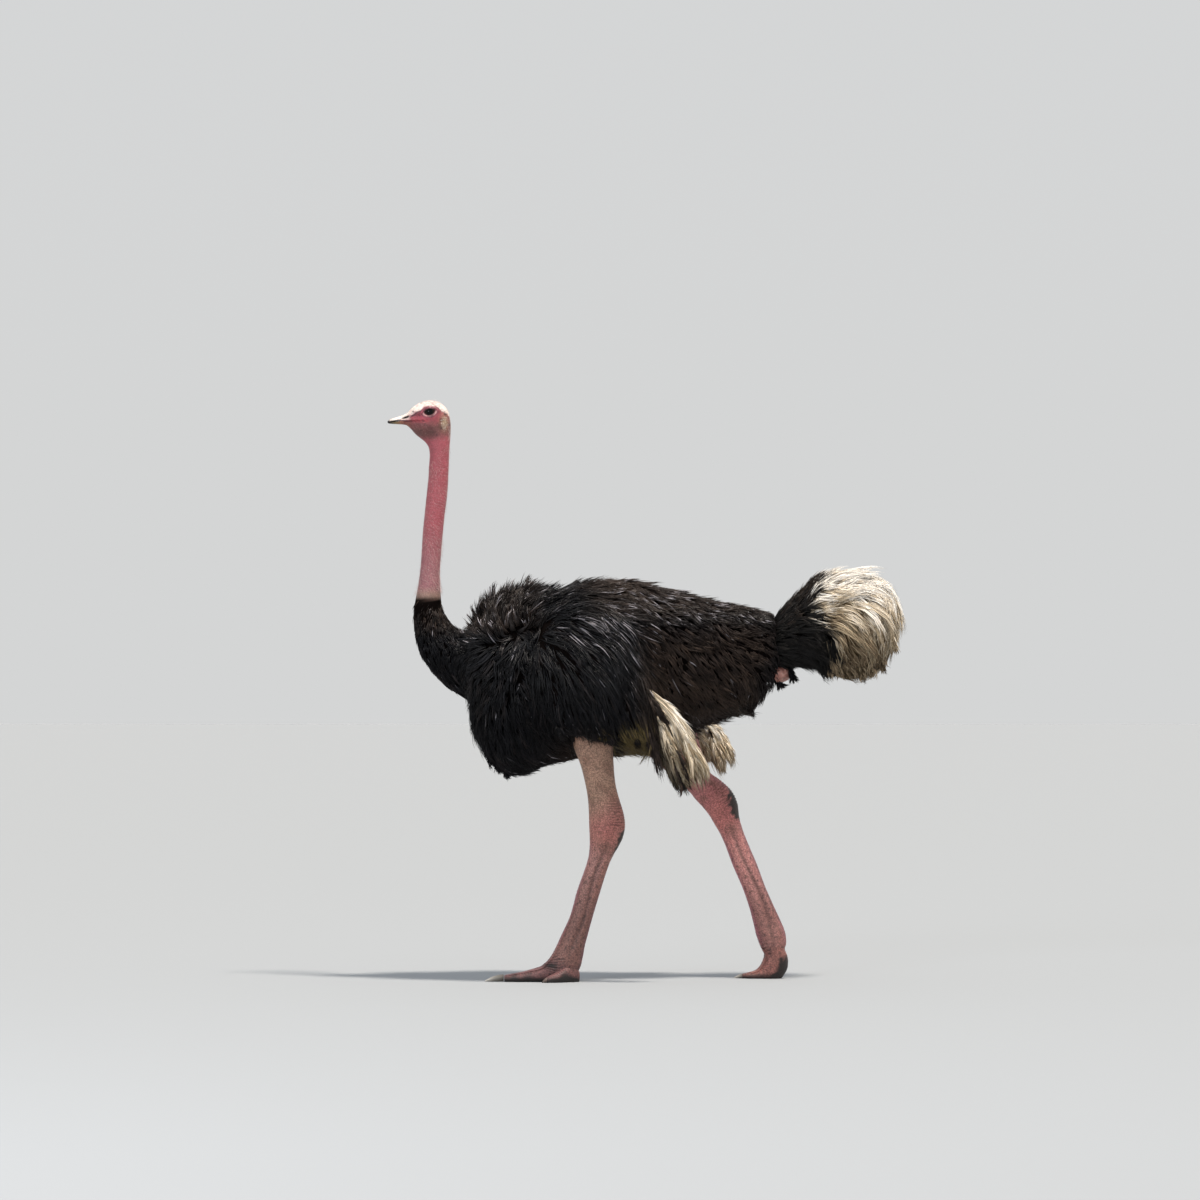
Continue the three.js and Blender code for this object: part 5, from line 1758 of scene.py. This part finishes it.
def scutes(name, rows_of, tree, pitch, width, height):
    """Overlapping plates in staggered columns down a limb, `rows_of` = (sweep, t0, t1, angles)."""
    sweep, first, last, angles = rows_of
    run = np.interp([first, last], sweep.fine, sweep.run)
    places = []
    for column, angle in enumerate(angles):
        at = np.arange(run[0] + (column % 2) * pitch / 2, run[1], pitch)
        t = sweep.at_run(at)
        places.append(np.stack([t, np.full(len(t), angle)], 1))
    t, a = np.concatenate(places).T
    clear = sweep.point(t, a)[:, 2] > 1.1 * width      # none wraps under the sole
    t, a = t[clear], a[clear]
    spots = sweep.point(t, a)
    normals = sweep.normal(t, a)
    ahead = sweep.point(t + 0.05, a) - spots
    ahead = unit(ahead - normals * np.sum(ahead * normals, 1)[:, None])
    across = np.cross(normals, ahead)
    frames = np.stack([ahead, across, normals], 2)
    turns = [Matrix(axes.tolist()).to_euler() for axes in frames]
    s = sweep.station(t)
    grade = np.clip(s[:, 4] / 32, 0.45, 1.3) * rng.uniform(0.92, 1.08, len(t))
    seed = bpy.data.meshes.new(name)
    seed.from_pydata((spots * MM).tolist(), [], [])
    holder = bpy.data.objects.new(name, seed)
    bpy.context.scene.collection.objects.link(holder)
    add_attribute(holder, "turn", np.array(turns), "FLOAT_VECTOR")
    grades = np.stack([np.ones(len(t)), grade, np.ones(len(t))], 1)
    add_attribute(holder, "grade", grades, "FLOAT_VECTOR")
    modifier = holder.modifiers.new("plates", "NODES")
    modifier.node_group = tree
    sizes = {"Plate Length": pitch * 0.62, "Plate Width": width / 2, "Plate Height": height}
    for item in tree.interface.items_tree:
        if item.in_out == "INPUT" and item.name in sizes:
            modifier[item.identifier] = sizes[item.name] * MM
    graph = bpy.context.evaluated_depsgraph_get()
    mesh = bpy.data.meshes.new_from_object(holder.evaluated_get(graph))
    bpy.data.objects.remove(holder)
    piece = bpy.data.objects.new(name, mesh)
    bpy.context.scene.collection.objects.link(piece)
    per = len(mesh.vertices) // len(t)
    points = read_points(piece)
    add_attribute(piece, "tone", skin_tone(points), "FLOAT_COLOR")
    add_attribute(piece, "bare", np.full(len(points), 0.5))
    chart = np.repeat(chart_of(t, a, sweep.last), per, 0)
    local = points.reshape(len(t), per, 3) - spots[:, None]
    local = np.stack([np.sum(local * v[:, None], 2) for v in (ahead, across)], -1)
    uv = chart + (local / np.abs(local).max() * 0.5 + 0.5).reshape(-1, 2) * BAKE_PATCH
    loops = np.empty(len(mesh.loops), dtype=np.int32)
    mesh.loops.foreach_get("vertex_index", loops)
    for layer in list(mesh.uv_layers):
        mesh.uv_layers.remove(layer)
    layer = mesh.uv_layers.new(name="OFBake")
    layer.data.foreach_set("uv", uv[loops].astype(np.float32).ravel())
    mesh.polygons.foreach_set("use_smooth", np.ones(len(mesh.polygons), bool))
    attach(piece, "root")
    return piece


plates = scute_tree()
FRONT_ANGLES = math.pi + np.array([0, -0.38, 0.38])      # three columns down the front
OUTER_TOE_ANGLES = [0, -0.6, 0.6]                        # and three down each outer toe
for side, sweep in leg_sweeps.items():
    scutes(f"shin_scutes_{side}", (sweep, 10.0, 17.0, FRONT_ANGLES), plates, 12, 18, 0.9)
    scutes(f"toe_scutes_{side}", (sweep, 17.2, sweep.last - 0.3, FRONT_ANGLES), plates, 10, 20, 1.3)
for side, sweep in toe_sweeps.items():
    scutes(f"outer_toe_scutes_{side}", (sweep, 0.6, sweep.last - 0.4, OUTER_TOE_ANGLES), plates,
           8, 14, 1.3)


# -------- bill, eyes and claws
def horn_material(name, stops, roughness):
    """Horn: hard keratin, worn to a dull polish; its colour runs from root to tip."""
    material = bpy.data.materials.new(name)
    tree, shader, along, rim = open_material(material, "along", "rim")
    colour = add_node(tree, "ShaderNodeValToRGB", {"stops": stops}, i0=along)
    # painted shade along the slit where the two halves of the bill meet
    edged = add_node(tree, "ShaderNodeMix", RGBA, i0=rim, i6=colour.outputs["Color"],
                     i7=srgb("#180e0d"))
    tree.links.new(edged.outputs[2], shader.inputs["Base Color"])
    place = add_node(tree, "ShaderNodeTexCoord").outputs["Object"]
    grain = add_node(tree, "ShaderNodeTexNoise", Vector=place, Scale=300.0, Detail=4.0)
    bump = add_node(tree, "ShaderNodeBump", Height=grain.outputs["Fac"], Strength=0.25,
                    Distance=0.0004)
    tree.links.new(bump.outputs["Normal"], shader.inputs["Normal"])
    shader.inputs["Roughness"].default_value = roughness
    return material


# the dark edge along the slit is painted shade
RIM_WIDTH = 2.9                   # mm of dark edge either side of the slit of the bill


def horn(name, rows, material, nodes, spacing=1.2, around=40, rim=None, **shape):
    """A smooth horn piece swept root to tip, with its place along it stored for colour.

    `rim` names the two columns of the edge that meets the other half of the bill, where the horn
    is darkened as painted shade.
    """
    sweep = Sweep(rows, **shape)
    piece = sweep_body(name, sweep, spacing, around)
    points = read_points(piece)
    x0, x1 = points[:, 0].max(), points[:, 0].min()
    add_attribute(piece, "along", (x0 - points[:, 0]) / (x0 - x1))
    if rim:
        edge = np.array(rows)[::-1]
        line = np.interp(points[:, 0], edge[:, rim[0]], edge[:, rim[1]])
        add_attribute(piece, "rim", np.exp(-((points[:, 2] - line) / RIM_WIDTH) ** 2))
    piece.data.materials.append(material)
    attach(piece, "root")
    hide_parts(*nodes)
    return piece


UPPER_BILL = [
    [-875, 2034.2, -880, 2015.2, 17.6],
    [-880, 2032.6, -885, 2014.9, 18.0],
    [-886, 2030.4, -891, 2014.5, 17.9],
    [-895, 2027.3, -899, 2013.9, 17.6],
    [-907, 2024, -909, 2013.0, 15.8],
    [-916, 2020.8, -917, 2011.2, 12.9],
    [-923, 2016.4, -923.5, 2009.6, 8.6],
    [-927, 2012.6, -927, 2009.4, 3.0],
]
LOWER_BILL = [
    [-866, 2015.0, -868, 2001.3, 18.8],
    [-873, 2014.9, -876, 2001.7, 18.6],
    [-883, 2014.3, -887, 2002.4, 17.6],
    [-899, 2013.6, -901, 2003.2, 15.6],
    [-911, 2012.6, -912, 2003.9, 13.0],
    [-919.5, 2010.8, -920, 2004.8, 9.0],
    [-925.5, 2009.2, -925.5, 2006.4, 3.2],
]
# Horn of bill and claws: layers of keratin over bone, grown from the root and worn at the tip.
# The upper bill is pinkish white with a black nail, the lower one brown; the claws are grey.
upper_horn = horn_material("horn of the upper bill", [
    (0, "#e2d2cb"), (0.5, "#e2d6ce"), (0.8, "#cdbcb1"), (0.9, "#4a403b"), (0.96, "#14100f"),
    (1, "#14100f")], 0.42)
lower_horn = horn_material("horn of the lower bill", [
    (0, "#8a5045"), (0.25, "#8c5e45"), (0.5, "#7d663f"), (0.78, "#453a25"), (0.93, "#1c1712"),
    (1, "#100d0b")], 0.42)
claw_horn = horn_material("horn of the claws", [(0, "#4f4942"), (0.5, "#7d7972"), (1, "#b9b4ab")], 0.5)
small_horn = horn_material("horn of the small claws", [(0, "#5f4a44"), (1, "#4a403a")], 0.5)

horn("bill_top", UPPER_BILL, upper_horn, ["bill_upper"], rim=(2, 3), bias=-0.3, square=2.5)
horn("bill_bottom", LOWER_BILL, lower_horn, ["bill_lower"], rim=(0, 1), bias=0.2, square=2.5)


def claw_rows(x, out, length, half, height):
    """Rows of a claw that points to -X from its root and droops to the ground."""
    rows = []
    for f in (0, 0.2, 0.45, 0.7, 0.88, 1):
        top = 1.5 + (height - 1.5) * math.cos(f * math.pi / 2) ** 0.8
        here = x - length * f
        rows.append([here, max(top, 3), here, 0.5, half * (1 - 0.85 * f ** 1.6), out])
    return rows


for side, big, outer in (("left", (-508, 70, 68, 12.5, 26), (-360.3, 102, 20, 8.2, 18.5)),
                         ("right", (362, 134, 38, 12.5, 18), (413, 186, 22, 8.2, 14.5))):
    turn = (*FRONT_TOE_ROOT, FRONT_TOE_SPLAY) if side == "left" else None
    horn(f"nail_big_{side}", claw_rows(*big), claw_horn, [f"big_claw_{side}"], 2, 20, side=SIDES[side])
    horn(f"nail_outer_{side}", claw_rows(*outer), small_horn, [f"outer_claw_{side}"], 2, 20,
         side=SIDES[side], turn=turn)

# The eyeball: wet and clear in front, a near-black pupil in a dark brown iris.
eye_material = bpy.data.materials.new("wet eye")
tree, shader, from_pupil = open_material(eye_material, "from_pupil")
iris = add_node(tree, "ShaderNodeValToRGB", {"stops": [
    (0.0, "#020202"), (0.42, "#030202"), (0.5, "#1c110a"), (0.75, "#301d11"), (0.85, "#0a0706"),
    (1.0, "#140d0b")]}, i0=from_pupil)
tree.links.new(iris.outputs["Color"], shader.inputs["Base Color"])
shader.inputs["Roughness"].default_value = 0.06
shader.inputs["Specular IOR Level"].default_value = 0.2
for side, k in SIDES.items():
    turn = np.linspace(0, math.pi, 49)[1:-1]
    round_ = np.arange(64) * 2 * math.pi / 64
    radius = EYE_RADIUS + 0.5 * np.exp(-(turn / 0.45) ** 2)
    rings = np.stack([
        np.sin(turn)[:, None] * np.cos(round_)[None] * radius[:, None],
        k * (np.cos(turn) * radius)[:, None] * np.ones(64)[None],
        np.sin(turn)[:, None] * np.sin(round_)[None] * radius[:, None]], 2)
    rings += np.array([EYE[0], k * EYE[1], EYE[2]])
    points, faces = grid_solid(rings)
    ball = mesh_object(f"eyeball_{side}", points, faces)
    away = np.arccos(np.clip(k * (points[:, 1] - k * EYE[1]) / EYE_RADIUS, -1, 1))
    add_attribute(ball, "from_pupil", np.clip(away / 1.1, 0, 1))
    ball.data.materials.append(eye_material)
    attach(ball, "root")
    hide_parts(f"eye_{side}")

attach(skin, "root")
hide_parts(*[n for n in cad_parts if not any(
    w in n for w in ("bill", "eye", "claw"))])

# -------- floor, light, camera
def light(name, kind, place, target, size, energy, color):
    """A soft lamp: a disc `size` metres across, or a far one `size` degrees across."""
    data = bpy.data.lights.new(name, kind)
    if kind == "AREA":
        data.shape, data.size = "DISK", size
    else:
        data.angle = math.radians(size)
    data.energy, data.color = energy, srgb(color)[:3]
    lamp = bpy.data.objects.new(name, data)
    lamp.location = place
    lamp.rotation_euler = (Vector(target) - Vector(place)).to_track_quat("-Z", "Y").to_euler()
    bpy.context.scene.collection.objects.link(lamp)


# A painted studio floor: matt, so it takes a soft shadow and throws nothing back.
floor_paint = bpy.data.materials.new("matt pale floor")
tree, shader = open_material(floor_paint)
shader.inputs["Base Color"].default_value = srgb("#95989b")
shader.inputs["Roughness"].default_value = 0.95
FLOOR = [[-40000, -30000, 0], [40000, -30000, 0], [40000, 40000, 0], [-40000, 40000, 0]]
floor = mesh_object("floor", np.array(FLOOR, float), [(0, 1, 2, 3)])
floor.data.materials.append(floor_paint)
light("overhead", "SUN", (6.0, -5.4, 22.8), (0, 0, 1.2), 8, 4.6, "#fff6ea")
light("camera_side", "AREA", (-5.5, -10, 5.0), (0, 0, 1.0), 3.5, 300, "#eef4ff")

world = bpy.data.worlds.new("studio")
world.use_nodes = True
sky = world.node_tree
sight = add_node(sky, "ShaderNodeTexCoord")
height = add_node(sky, "ShaderNodeSeparateXYZ", Vector=sight.outputs["Generated"])
pale_sky = add_node(sky, "ShaderNodeValToRGB", {"stops": [
    (0, "#d4d5d5"), (0.02, "#d4d5d5"), (0.3, "#d6d8da"), (1, "#e0e6ed")]}, i0=height.outputs["Z"])
sky.links.new(pale_sky.outputs["Color"], sky.nodes["Background"].inputs["Color"])
bpy.context.scene.world = world

CAMERA_PLACE = Vector((-0.162, -25.0, 1.5))
CAMERA_TARGET = Vector((-0.162, 0.0, 1.37))
FRAME_WIDTH = 4.32                # metres across the frame at the bird
camera_data = bpy.data.cameras.new("camera")
camera_data.sensor_width = 36
camera_data.lens = 36 * (CAMERA_TARGET - CAMERA_PLACE).length / FRAME_WIDTH
camera_data.clip_end = 200
camera = bpy.data.objects.new("camera", camera_data)
camera.location = CAMERA_PLACE
camera.rotation_euler = (CAMERA_TARGET - CAMERA_PLACE).to_track_quat("-Z", "Y").to_euler()
bpy.context.scene.collection.objects.link(camera)
bpy.context.scene.camera = camera
bpy.context.scene.view_settings.view_transform = "Standard"
